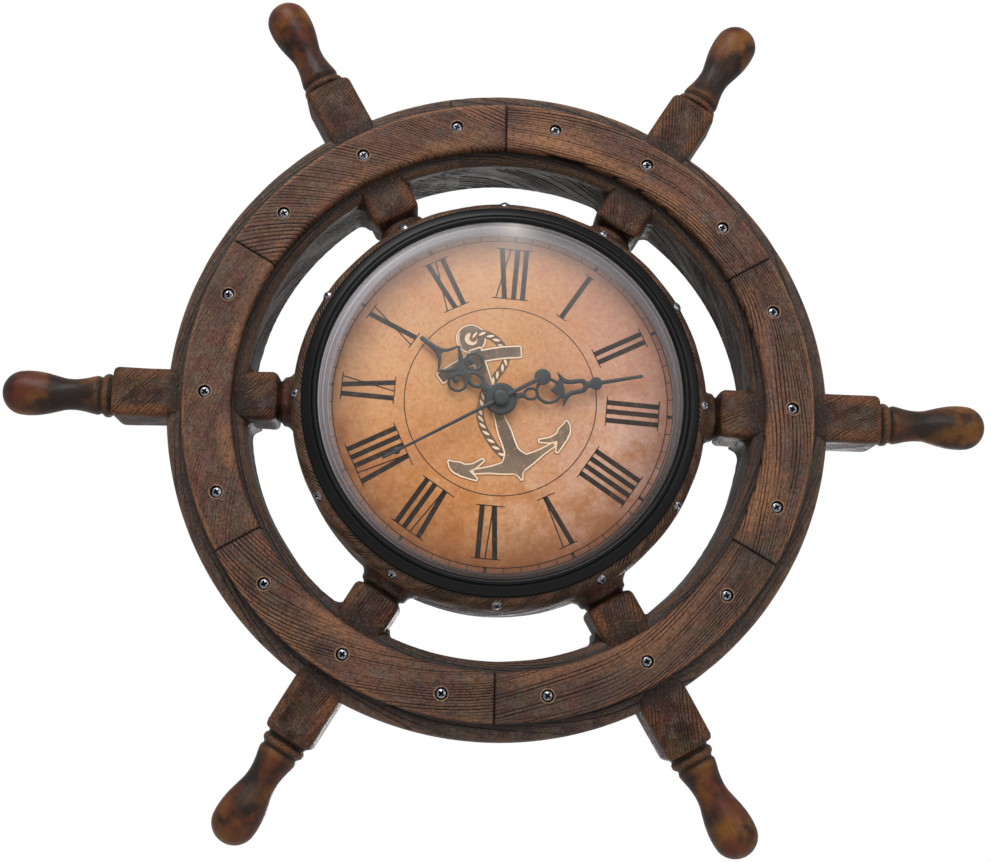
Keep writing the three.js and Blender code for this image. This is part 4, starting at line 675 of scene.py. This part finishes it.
hub_heads = screw_heads(2.1, 1.1, 0.5, HUB_SCREW_CIRCLE, HUB_SCREW_ANGLES, HUB_SCREW_HEIGHT, HUB_SCREW_TILT)
piece("hub_screws", [hub_heads], screw_steel)

# Hanging bracket: a stamped steel strip let into the back of the rim at twelve, with a keyhole for
# the head of a wall screw. It keeps its CAD shape.


def brushed(name, pale, deep, low, high, scale):
    """Bare metal with fine scratches along X and a smudged shine."""
    finish = new_finish(name)
    at = finish.node("VectorMath", {0: finish.place(), 1: (0.12, 1.0, 1.0)}, operation="MULTIPLY")
    lines = finish.noise(scale, 5.0, 0.65, at)
    return finish.surface(
        Base_Color=finish.mix(finish.level(lines, 0.3, 0.7), deep, pale),
        Metallic=1.0,
        Roughness=finish.level(lines, 0.3, 0.7, low, high),
        Normal=finish.bump(lines, 0.00004, 0.5),
    )


def dress(finish, *nodes):
    """Gives CAD nodes that keep their shape a finish."""
    for node in nodes:
        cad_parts[node].data.materials.clear()
        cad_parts[node].data.materials.append(finish)


plain_steel = brushed("plain_steel", (176, 178, 182), (128, 130, 134), 0.3, 0.5, 1500.0)
dress(plain_steel, "wall_hanger", "stator", "rotor", "contact_plus", "contact_minus")

# Clock housing: a moulded black pan that drops into the hub, hangs on its flange and carries the
# dial on its floor. Its back shows inside the hub behind the movement.
HOUSING_BACK, DIAL_BACK, DIAL_FRONT, LENS_SEAT = 7.66, 9.66, 10.66, 17.0
BUSH_HOLE, DIAL_RADIUS = 3.75, 66.4
PAN_INNER, PAN_OUTER, FLANGE_OUTER, FLANGE_TOP = 66.8, 69.0, 73.2, 16.2


def spun(profile, facets):
    """Rings about the wheel's axis, one through each (radius, height) point of a profile."""
    return on_wheel(profile[:, :1], full_turn(facets), profile[:, 1:])


def revolved(corners, step=0.5, passes=1, facets=240):
    """Solid ring: an eased section turned about the wheel's axis."""
    return shell(spun(outline(corners, step, passes)[0], facets), looped=True)


def moulded(name, colour, worn, low, high, shine=0.5):
    """Moulded plastic: a faint cast of shade, a fine spark-eroded skin and a satin shine."""
    finish = new_finish(name)
    pebble = finish.noise(2600.0, 2.0)
    cast = finish.noise(40.0, 3.0)
    return finish.surface(
        Base_Color=finish.mix(finish.level(cast, 0.35, 0.7), colour, worn),
        Roughness=finish.level(cast, 0.3, 0.7, low, high),
        Normal=finish.bump(pebble, 0.00003, 0.35),
        Specular_IOR_Level=shine,
    )


black_plastic = moulded("black_plastic", (5, 5, 6), (9, 9, 10), 0.3, 0.42, 0.15)
housing = revolved([
    (BUSH_HOLE, HOUSING_BACK), (PAN_OUTER, HOUSING_BACK), (PAN_OUTER, HUB_FRONT), (FLANGE_OUTER, HUB_FRONT),
    (FLANGE_OUTER, FLANGE_TOP), (PAN_OUTER, FLANGE_TOP), (PAN_OUTER, LENS_SEAT), (PAN_INNER, LENS_SEAT),
    (PAN_INNER, DIAL_BACK), (BUSH_HOLE, DIAL_BACK),
])
piece("clock_housing_moulded", [housing], black_plastic, ["clock_housing"], crease=30)

# Dial: a card disc printed like old parchment, with a dark minute track, Roman numerals whose feet
# point inwards, and in a ring at the centre a fouled anchor. It is fitted four degrees clockwise.
DIAL_TURN, PRINT = np.radians(4), DIAL_FRONT + 0.03
dial_card = new_finish("dial_card")
foxing = dial_card.noise(130.0, 6.0, 0.7)
speck = dial_card.noise(800.0, 3.0, 0.6)
out = dial_card.length(dial_card.place())
x, _, z = dial_card.axes(dial_card.place())
card = dial_card.coats(
    (178, 130, 84),
    (dial_card.noise(22.0, 4.0, 0.55), 0.36, 0.66, 1.0, (166, 108, 64)),
    (out, 0.035, 0.0, 0.4, (186, 146, 99)),
    # Painted reflection: a pale pinkish grey veil over the right side.
    (x - 0.3 * z, 0.0, 0.07, 0.85, (172, 146, 138)),
    # Painted reflection: a darker pinkish grey tone towards the upper right.
    (x + 0.7 * z, 0.04, 0.075, 0.6, (154, 104, 86)),
    # Painted highlight: lighter and warmer towards the upper left.
    (z - 0.8 * x, 0.02, 0.055, 0.5, (198, 152, 112)),
    (dial_card.noise(60.0, 5.0, 0.6), 0.5, 0.68, 0.4, (178, 107, 69)),
    (foxing - 4.5 * z, 0.56, 0.8, 0.68, (150, 90, 24)),
    (speck, 0.5, 0.72, 0.4, (134, 83, 44)),
    (speck, 0.46, 0.3, 0.25, (200, 162, 122)),
    # Dark edge, deeper towards the bottom: partly the card's own burnt edge, partly painted shade from the
    # bezel.
    (out + 0.02 * foxing - 0.08 * z, 0.058, 0.08, 0.75, (100, 57, 32)),
)
dial_card = dial_card.surface(
    Base_Color=card, Roughness=0.62, Specular_IOR_Level=0.15, Normal=dial_card.bump(speck, 0.00002, 0.3)
)


def washer(inner, outer, low, high):
    """A flat ring between two radii and two heights, with square edges."""
    return revolved([(inner, low), (outer, low), (outer, high), (inner, high)], 1.0, 0)


dial = washer(BUSH_HOLE, DIAL_RADIUS, DIAL_BACK, DIAL_FRONT)
piece("dial_card", [dial], dial_card, ["dial_plate"], crease=30)


def ink(name, colour, faded, wear):
    """Printing ink that has worn thin in spots."""
    finish = new_finish(name)
    thin = finish.noise(420.0, 5.0, 0.7)
    tone = finish.noise(60.0, 3.0)
    shade = finish.coats(colour, (tone, 0.35, 0.7, 1.0, faded), (thin, 0.56, 0.7, wear, (170, 128, 94)))
    return finish.surface(Base_Color=shade, Roughness=0.7, Specular_IOR_Level=0.1)


def flat_shapes(corners, angle):
    """Printed shapes: outlines of (along the circle, outwards) corners, each turned to its angle on
    the dial, with a low and a high ring joined into a thin closed film."""
    along, outward = np.moveaxis(np.array(corners)[:, None], -1, 0)
    angle = np.reshape(angle, (-1, 1, 1)) + DIAL_TURN
    return shell(on_wheel(outward, angle, np.array([[DIAL_FRONT], [PRINT]]), along))


def stroke(foot, head, width, inner, outer):
    """A slanting stroke of a numeral between two radii, level at both ends."""
    half = width / 2
    return [(foot - half, inner), (foot + half, inner), (head + half, outer), (head - half, outer)]


NUMERAL_FOOT, NUMERAL_HEAD = 40.4, 60.4
THICK, THIN, GAP = 1.95, 0.5, 1.5
SERIF_REACH, SERIF_HALF = 1.3, 0.2
LETTERS = {
    "I": (THICK, [(0.0, 0.0, THICK)]),
    "V": (4.9, [(0.35, -1.55, THICK), (0.75, 2.1, THIN)]),
    "X": (4.6, [(1.3, -1.3, THICK), (-2.05, 2.05, THIN)]),
}
numeral_strokes, numeral_angles = [], []
for hour, word in enumerate("I II III IIII V VI VII VIII IX X XI XII".split(), 1):
    widths = [LETTERS[letter][0] for letter in word]
    total = sum(widths) + GAP * (len(word) - 1)
    left = -total / 2
    for letter, width in zip(word, widths):
        middle = left + width / 2
        for foot, head, thick in LETTERS[letter][1]:
            numeral_strokes.append(stroke(middle + foot, middle + head, thick, NUMERAL_FOOT, NUMERAL_HEAD))
        left += width + GAP
    for level in (NUMERAL_FOOT, NUMERAL_HEAD):
        numeral_strokes.append(stroke(0, 0, total + 2 * SERIF_REACH, level - SERIF_HALF, level + SERIF_HALF))
    numeral_angles += [np.radians(30 * hour)] * (len(numeral_strokes) - len(numeral_angles))
dark_ink = ink("dark_ink", (30, 25, 22), (44, 36, 31), 0.15)
numerals = flat_shapes(numeral_strokes, numeral_angles)
piece("dial_numerals", [numerals], dark_ink)

CENTRE_RING, TRACK_INNER, TRACK_OUTER = 36.5, 63.6, 65.8
TICK, HOUR_TICK = 0.35, 1.3
minute_ticks = [
    stroke(0, 0, TICK if minute % 5 else HOUR_TICK, TRACK_INNER, TRACK_OUTER) for minute in range(60)
]
ticks = flat_shapes(minute_ticks, np.radians(6 * np.arange(60)))
rings = [
    washer(ring - half, ring + half, DIAL_FRONT, PRINT)
    for ring, half in ((CENTRE_RING, 0.18), (TRACK_INNER, 0.18), (TRACK_OUTER, 0.25))
]
piece("dial_track", [ticks, *rings], dark_ink)

ANCHOR_LEAN, ANCHOR_SHIFT = np.radians(-20.7), (-2.4, 0.0, -0.9)


def ribbon(path, half, low, high, edge=0.0):
    """A strip along a path of (across, up) points: its section is as wide as half says to each side,
    stands from low to high, and its upper edges are eased by the share edge. Joins a looped path."""
    path, half = np.array(path, float), np.broadcast_to(half, len(path))
    looped = bool(np.allclose(path[0], path[-1]))
    if looped:
        path, half = path[:-1], half[:-1]
        run = np.roll(path, -1, axis=0) - np.roll(path, 1, axis=0)
    else:
        run = np.gradient(path, axis=0)
    square = np.stack([-run[:, 1], run[:, 0]], axis=1) / np.linalg.norm(run, axis=1, keepdims=True)
    share = np.array([-1, -1, -1 + edge, 1 - edge, 1, 1])
    level = np.array([0, 1 - edge / 2, 1, 1, 1 - edge / 2, 0])
    flat = path[:, None] + square[:, None] * (half[:, None] * share)[..., None]
    rise = np.broadcast_to(low + (high - low) * level, flat.shape[:2])
    return flat, rise, looped


def laid(strip, turn, shift=(0.0, 0.0, 0.0)):
    """A ribbon set on the dial: turned clockwise about the dial's centre and then moved."""
    flat, rise, looped = strip
    points = on_wheel(flat[..., 1], turn, rise, flat[..., 0])
    return shell(points + np.multiply(shift, MM), looped=looped)


def arc(centre, wide, tall, start, stop, count=40):
    """Path along an ellipse, between two angles counted anticlockwise from the right."""
    turn = np.radians(np.linspace(start, stop, count))
    return np.stack([centre[0] + wide * np.cos(turn), centre[1] + tall * np.sin(turn)], axis=1)


def swell(low, high, count):
    """Half-widths that rise from low at the ends to high in the middle."""
    return low + (high - low) * np.sin(np.linspace(0, np.pi, count))


def spline(points, count):
    """Smooth path through points, evenly spread over their numbers."""
    points = np.array(points, float)
    at = np.linspace(0, len(points) - 1, count)
    knots = np.arange(len(points))
    return np.stack([fair(at, knots, points[:, 0]), fair(at, knots, points[:, 1])], axis=1)


def upright(low, high, half, count=12):
    """A strip straight up the middle, between two heights."""
    return np.stack([np.zeros(count), np.linspace(low, high, count)], axis=1), half


def tapered(count, knots, halves):
    """A strip straight up the middle, whose half-widths run smoothly through those at some heights."""
    return upright(knots[0], knots[-1], fair(np.linspace(knots[0], knots[-1], count), knots, halves), count)


def twins(path, half):
    """A strip and its mirror image on the other side of the middle."""
    return [(path, half), (path * (-1, 1), half)]


def disc(centre, radius, count=24):
    """A round blot as a level path across it and the half-widths of a circle."""
    across = radius * np.cos(np.linspace(np.pi, 0, count))
    path = np.stack([centre[0] + across, np.full(count, centre[1])], axis=1)
    return path, np.sqrt(radius**2 - across**2) + 0.02


def printed(strips, spread, rise):
    """Strips printed on the dial, spread to all sides, each a hair above the one before."""
    films = []
    for i, (path, half) in enumerate(strips):
        half = np.broadcast_to(half, len(path)) + spread
        if spread and not np.allclose(path[0], path[-1]):
            ends = np.array([path[0] - path[1], path[-1] - path[-2]])
            ends = path[[0, -1]] + spread * ends / np.linalg.norm(ends, axis=1, keepdims=True)
            path = np.vstack([ends[:1], path, ends[1:]])
            half = np.concatenate([0.8 * half[:1], half, 0.8 * half[-1:]])
        strip = ribbon(path, half, DIAL_FRONT, PRINT + rise + 0.004 * i)
        films.append(laid(strip, ANCHOR_LEAN, ANCHOR_SHIFT))
    return films


arms = spline([
    (-16, -22.5), (-10.2, -23.8), (-5.5, -24.8), (0, -25.4), (5.5, -24.8), (10.2, -23.8), (16, -22.5),
], 61)
inner_barb = spline([(11.3, -19.4), (15.5, -20.5), (19.4, -20.2)], 16)
outer_barb = spline([(16.1, -25.5), (18.0, -23.3), (20.4, -20.6)], 16)
palm = spline([(17.4, -21.6), (20.6, -19.7), (22.6, -17.7), (23.6, -15.7)], 20)
anchor_strips = [
    tapered(20, [-31, -29.8, -28.6, -28, -27.1, -26], [0.1, 0.6, 1.4, 2.2, 4.0, 6.6]),
    (arms, fair(np.abs(arms[:, 0]), [0, 5.5, 10.2, 16], [3.0, 1.95, 1.05, 0.6])),
    tapered(60, [-24, -22, -20, -17, -12, -5.5, 0, 22], [6.0, 4.0, 2.65, 2.3, 2.3, 1.6, 1.5, 2.2]),
    (spline([(-16.2, 15.6), (-9, 17.6), (0, 18.8), (9, 17.6), (16.2, 15.6)], 40), 1.95),
    *twins(inner_barb, np.linspace(0.35, 1.4, 16)),
    *twins(outer_barb, np.linspace(0.3, 1.8, 16)),
    *twins(palm, fair(np.linspace(0, 1, 20), [0, 0.4, 0.75, 1], [1.2, 2.1, 1.2, 0.2])),
]
ring_strips = [(arc((0, 26.6), 3.8, 3.8, 0, 360), 1.4)]
rope_path = spline([
    (0.4, 27.5), (4, 27.4), (7.3, 25.2), (9.3, 22.4), (10.4, 18.6), (9.8, 14.4), (7.7, 12), (4.3, 9.6),
    (1.5, 7.4), (-2.5, 4.7), (-4.4, 1.7), (-6.3, -1.8), (-7, -5.1), (-7, -8.7), (-6.2, -13), (-5.1, -16.9),
    (-3.4, -20.8),
], 120)
rope_strips = [(rope_path, 1.25)]
rope_run = np.gradient(rope_path, axis=0)
strand_turn = np.arctan2(rope_run[:, 1], rope_run[:, 0]) + 0.55
strand = np.linspace(-1.5, 1.5, 8)[:, None]
strand_strips = [
    (middle + np.stack([np.cos(turn), np.sin(turn)]) * strand, swell(0.12, 0.5, 8))
    for middle, turn in zip(rope_path[3::6], strand_turn[3::6])
]
glint_strips = [
    (arc((0.5, 26.5), 2.0, 2.0, 70, 310), swell(0.2, 0.75, 40)),
    (arc((0, 26.6), 4.7, 4.7, 130, 205), swell(0.06, 0.26, 40)),
]
eye_strips = [disc((0.9, 26.4), 1.3)]
ANCHOR_PRINTS = [
    ("dial_anchor_line", ink("line_ink", (98, 66, 46), (114, 80, 56), 0.4),
     (ring_strips, 0.85, 0.0), (rope_strips, 0.25, 0.02), (anchor_strips, 0.85, 0.12)),
    ("dial_anchor_border", ink("cream_ink", (216, 191, 164), (196, 168, 138), 0.4),
     (ring_strips, 0.6, 0.02), (glint_strips, 0.0, 0.06), (strand_strips, 0.0, 0.1),
     (anchor_strips, 0.6, 0.16)),
    ("dial_anchor", ink("grey_ink", (90, 77, 65), (122, 104, 86), 0.8),
     (ring_strips, 0.0, 0.04), (eye_strips, 0.0, 0.08), (anchor_strips, 0.0, 0.2)),
    ("dial_anchor_rope", ink("rope_ink", (92, 74, 60), (110, 88, 70), 0.4), (rope_strips, 0.0, 0.09)),
]
for name, print_ink, *layers in ANCHOR_PRINTS:
    piece(name, [film for layer in layers for film in printed(*layer)], print_ink)

# Movement: a square quartz movement held against the pan by its threaded bush, rubber gasket, washer
# and nut. Two black mouldings close round resin and brass wheels; a cell lies in the open bay below.
dress(moulded("case_plastic", (30, 30, 32), (42, 42, 44), 0.42, 0.58), "movement_front", "movement_back")
white_resin = moulded("white_resin", (232, 228, 214), (214, 208, 192), 0.38, 0.52)
dress(white_resin, "hour_wheel", "motion_wheel", "third_wheel", "second_wheel", "step_wheel", "set_knob")
turned_brass = brushed("turned_brass", (214, 178, 104), (170, 132, 66), 0.22, 0.4, 1800.0)
dress(turned_brass, "washer", "hex_nut", "minute_pipe", "centre_wheel")
dress(brushed("copper_winding", (200, 118, 72), (140, 74, 40), 0.3, 0.5, 3000.0), "coil")
dress(moulded("solder_mask", (24, 92, 58), (18, 74, 46), 0.3, 0.45), "circuit_board")
dress(moulded("black_rubber", (28, 28, 28), (38, 38, 38), 0.75, 0.9), "gasket")
dress(brushed("cell_jacket", (92, 98, 108), (62, 68, 78), 0.3, 0.45, 700.0), "battery")

# Hands: pressed from thin steel and painted dark slate. The hour hand has a crown and two scrolls,
# the minute hand a ring, a tulip and a bead, and the second hand is a needle with a round tail.
HAND_THICKNESS, BOSS_RADIUS = 0.5, 6.2
HOUR_LEVEL, MINUTE_LEVEL, SECOND_LEVEL = 13.11, 14.11, 15.11
HOUR_HOLE, MINUTE_HOLE = 2.4, 1.55


def hand(body, strips, angle, level, centre):
    """One hand on its body: strips pressed with eased edges and turned to their place on the dial,
    with the boss or cap at the centre."""
    turn = np.radians(angle) + DIAL_TURN
    tops = level + HAND_THICKNESS - 0.01 * np.arange(len(strips))
    pressed = [laid(ribbon(path, half, level, top, 0.35), turn) for (path, half), top in zip(strips, tops)]
    piece(f"{body}_hand_pressed", [*pressed, centre], hand_paint, [f"{body}_hand"], body)


def boss(low, hole, ease=0.25):
    """Round boss of a hand with its hole, as an eased ring about the dial's centre."""
    high = low + HAND_THICKNESS
    return revolved([
        (hole, low), (BOSS_RADIUS, low), (BOSS_RADIUS, high - ease), (BOSS_RADIUS - ease, high), (hole, high),
    ], 0.35, 1, 64)


hand_paint = moulded("hand_paint", (9, 12, 14), (18, 22, 24), 0.34, 0.48, 0.35)
arrow_side = spline([(6.3, 25.3), (4.2, 26.4), (2.1, 27.9), (0.8, 30.0), (0.2, 32.0)], 30)
arrow_base = spline([(6.2, 25.2), (4.4, 23.2), (2.6, 21.4), (0.6, 20.2)], 24)
hour_strips = [
    upright(5, 9.6, 1.5),
    (arc((0, 12.2), 2.3, 3.3, -90, 270), 0.8),
    *twins(arc((5.1, 16.9), 3.3, 3.3, 0, 360), 0.55),
    *twins(spline([(3.4, 19.8), (4.4, 19.2), (4.8, 17.9)], 16), np.linspace(1.3, 0.9, 16)),
    *twins(*disc((4.8, 17.7), 1.2)),
    tapered(20, [15, 17, 19.5, 21.6], [1.0, 1.9, 2.4, 1.2]),
    *twins(arrow_base, np.linspace(0.5, 1.15, 24)),
    *twins(arrow_side, np.linspace(0.3, 0.95, 30)),
    upright(28.4, 32.4, np.linspace(1.5, 0.9, 12)),
    upright(31.4, 38.8, np.append(np.linspace(1.1, 0.85, 22), [0.7, 0.4]), 24),
]
hand("hour", hour_strips, 303, HOUR_LEVEL, boss(HOUR_LEVEL, HOUR_HOLE))

tulip_side = spline([
    (6.6, 22.9), (4.9, 23.6), (3.2, 24.6), (2.3, 26.2), (2.05, 28.4), (2.0, 30.6), (1.5, 31.9), (0.3, 32.6),
], 56)
tulip_half = fair(np.linspace(0, 7, 56), np.arange(8), [0.12, 0.6, 0.95, 0.9, 0.85, 0.85, 0.9, 0.95])
minute_strips = [
    upright(5, 9.2, 1.1),
    (arc((0, 11.5), 2.05, 2.5, -90, 270), 0.55),
    (arc((0, 18.3), 4.5, 4.5, -90, 270), 0.58),
    tapered(24, [19.2, 20.8, 22, 23.2, 24.3], [0.1, 1.7, 3.0, 3.9, 2.9]),
    *twins(tulip_side, tulip_half),
    upright(32.0, 34.8, 1.3),
    disc((0, 36.6), 2.45),
    upright(38, 54.7, np.linspace(0.8, 0.6, 16), 16),
]
hand("minute", minute_strips, 75, MINUTE_LEVEL, boss(MINUTE_LEVEL, MINUTE_HOLE))

second_strips = [
    upright(-18, 50, np.linspace(0.8, 0.45, 40), 40),
    upright(42.4, 45.6, swell(0.4, 1.35, 16), 16),
    disc((0, -17.8), 3.15),
]
CAP_TOP = SECOND_LEVEL + HAND_THICKNESS + 1.2
cap_profile = np.array([
    (0.2, SECOND_LEVEL), (2.6, SECOND_LEVEL), (3.0, SECOND_LEVEL + 0.3), (3.0, CAP_TOP - 0.5),
    (2.8, CAP_TOP - 0.15), (2.3, CAP_TOP), (1.2, CAP_TOP), (0.2, CAP_TOP),
])
hand("second", second_strips, 237, SECOND_LEVEL, shell(spun(cap_profile, 48)))

# Lens: a clear disc with a broad polished bevel, laid on the rim of the pan. Light on it is painted
# into the material: a streaked pale sheen on the bevel, bright above left and dark grey below right,
# a bright line near its rim, a faint veil over the top and a soft glare on the upper half.
LENS_TOP, LENS_SHOULDER, LENS_OUTER = 19.3, 18.2, 69.8
WHITE = (1.0, 1.0, 1.0, 1.0)
lens_profile = np.array([
    *zip(np.linspace(0.4, LENS_OUTER, 30), np.full(30, LENS_SEAT)),
    (LENS_OUTER, LENS_SHOULDER), (68.2, LENS_SHOULDER), (67.6, 18.3), (66.8, 18.55), (65.8, 18.85),
    (64.8, 19.12), (63.8, 19.26),
    *zip(np.linspace(62.8, 0.4, 30), np.full(30, LENS_TOP)),
])
lens_shell = shell(spun(lens_profile, 240), reach=lens_profile[:, :1])
clear_lens = new_finish("clear_lens")
level = clear_lens.level
at = clear_lens.place()
reach = clear_lens.value("reach")
streak = clear_lens.noise(1.0, 2.0, at=clear_lens.node("CombineXYZ", {"X": reach * 1.6}))
x, _, z = clear_lens.axes(at)
# side: 1 at the upper left, where the painted sheen is bright, and 0 at the lower right, where it is painted
# dark grey.
side = level(z - 0.6 * x, -0.066, 0.066)
inner_part = level(reach + 1.6 * side, 64.2, 66.0)
outer_part = level(reach, 65.4, 67.2)
lens_painted_sheen = (0.65 * inner_part + 0.35 * outer_part) * (0.22 + 0.46 * side) + 0.6 * outer_part * (streak - 0.5)
spot = clear_lens.node("VectorMath", {0: at, 1: (62, 0, 38), 2: (-0.25, 0, -2.6)}, operation="MULTIPLY_ADD")
glare = level(clear_lens.length(spot), 1.0, 0.0) ** 2
# lens_painted_veil: painted reflection over the top of the glass, and the glare.
lens_painted_veil = 0.06 * level(z - 0.3 * x, 0.0, 0.06) + 0.09 * glare
lens_painted_sheen = lens_painted_sheen * level(z, 0.03, 0.066, 1.0, 0.4) + lens_painted_veil
# Painted highlight: a thin bright line near the rim of the bevel.
lip = level(reach, 67.6, 67.9) * level(reach, 68.5, 68.2)
fresnel = clear_lens.node("Fresnel", {"IOR": 1.49}) * (1.0 - clear_lens.node("NewGeometry", {}, "Backfacing"))
pane = clear_lens.blend(
    fresnel,
    clear_lens.shader("BsdfTransparent", Color=WHITE),
    clear_lens.shader("BsdfGlossy", Color=(0.4, 0.4, 0.4, 1.0), Roughness=0.24),
)
# Painted highlight: pale streaks on the bevel.
pale = clear_lens.mix(level(streak, 0.35, 0.65), (96, 89, 92), (172, 166, 171))
painted_bevel_colour = clear_lens.mix(glare, clear_lens.mix(side, (74, 62, 58), pale), (214, 205, 196))
painted_bevel_shader = clear_lens.shader("BsdfPrincipled", Base_Color=painted_bevel_colour, Roughness=0.3)
clear_lens.shader("OutputMaterial", Surface=clear_lens.blend(level(lens_painted_sheen + 0.3 * lip, 0.0, 1.0), pane, painted_bevel_shader))
piece("lens_polished", [lens_shell], clear_lens.owner, ["lens"], crease=20)

# Bezel: a satin black ring over the pan's flange that holds the lens down, with a broad rounded
# outer band, a fine groove and a raised lip round the glass.
bezel = revolved([
    (73.5, HUB_FRONT), (75.0, HUB_FRONT), (75.0, 16.3), (74.7, 17.0), (73.9, 17.7), (72.6, 18.35),
    (71.4, 18.75), (71.0, 18.45), (70.7, 18.7), (70.6, 19.5), (70.1, 19.95), (69.4, 19.95), (68.9, 19.5),
    (68.5, 18.9), (68.5, 18.5), (70.1, 18.5), (70.1, 16.5), (73.5, 16.5),
], 0.2, 1, 300)
piece("bezel_moulded", [bezel], black_plastic, ["bezel"])

# Studio: a pale floor well below the hung clock, a white surround, a broad key light from above left,
# a fill from the right, a weak one from behind, and a soft box in front that the glass mirrors.
FLOOR, REACH = -0.6, 3
corners = [(-REACH, -REACH, FLOOR), (REACH, -REACH, FLOOR), (REACH, REACH, FLOOR), (-REACH, REACH, FLOOR)]
floor_mesh = bpy.data.meshes.new("floor")
floor_mesh.from_pydata(corners, [], [(0, 1, 2, 3)])
floor = added("floor", floor_mesh)
pale_floor = new_finish("pale_floor")
seen, mirrored = (pale_floor.node("LightPath", {}, f"Is {ray} Ray") for ray in ("Camera", "Glossy"))
share = pale_floor.level(pale_floor.length(pale_floor.place()), 0.9, 1.8) * seen + 0.5 * mirrored
lit = pale_floor.shader("BsdfDiffuse", Color=(0.82, 0.82, 0.82, 1.0))
glow = pale_floor.shader("Emission", Color=WHITE, Strength=1.0)
pale_floor.shader("OutputMaterial", Surface=pale_floor.blend(share, lit, glow))
floor_mesh.materials.append(pale_floor.owner)

surround = bpy.data.worlds.new("surround")
bpy.context.scene.world = surround
sky = Finish(surround)
seen, through = (sky.node("LightPath", {}, f"Is {ray} Ray") for ray in ("Camera", "Transmission"))
ambient, backdrop = (sky.shader("Background", Color=WHITE, Strength=power) for power in (0.62, 1.0))
sky.shader("OutputWorld", Surface=sky.blend(sky.level(seen + through, 0.0, 1.0), ambient, backdrop))


def stand(made, *columns):
    """Sets an object by the three directions of its axes and its place."""
    made.matrix_world = Matrix(np.column_stack(columns).tolist() + [[0, 0, 0, 1]])


def lamp(name, power, width, height, place, target=(0.0, 0.0, 0.0)):
    """Area light of a size in metres, at a place and turned to a target."""
    data = bpy.data.lights.new(name, "AREA")
    data.shape = "RECTANGLE"
    data.energy, data.size, data.size_y = power, width, height
    made = added(name, data)
    back = np.subtract(place, target)
    back /= np.linalg.norm(back)
    right = np.cross((0, 0, 1), back)
    right /= np.linalg.norm(right)
    stand(made, right, np.cross(back, right), back, place)
    made.visible_camera = False


lamp("key", 18.0, 0.9, 0.7, (-0.35, -0.9, 1.05))
lamp("fill", 4.9, 0.8, 0.8, (0.9, -1.1, 0.3))
lamp("back_fill", 7.6, 0.9, 0.5, (0.42, 2.2, -0.3))
lamp("soft_box", 4.6, 0.45, 0.25, (0.08, -1.2, 0.57), (0.02, 0.0, 0.03))

camera_data = bpy.data.cameras.new("camera")
camera_data.sensor_width = 36.0
camera_data.lens = 52.116
camera_data.clip_start = 0.01
camera = added("camera", camera_data)
right, up, back = (0.99895, -0.04065, 0.02127), (-0.02912, -0.20347, 0.97865), (-0.03546, -0.97824, -0.20444)
stand(camera, right, up, back, (-0.02088, -0.54067, -0.12252))
bpy.context.scene.camera = camera
bpy.context.scene.view_settings.view_transform = "Standard"
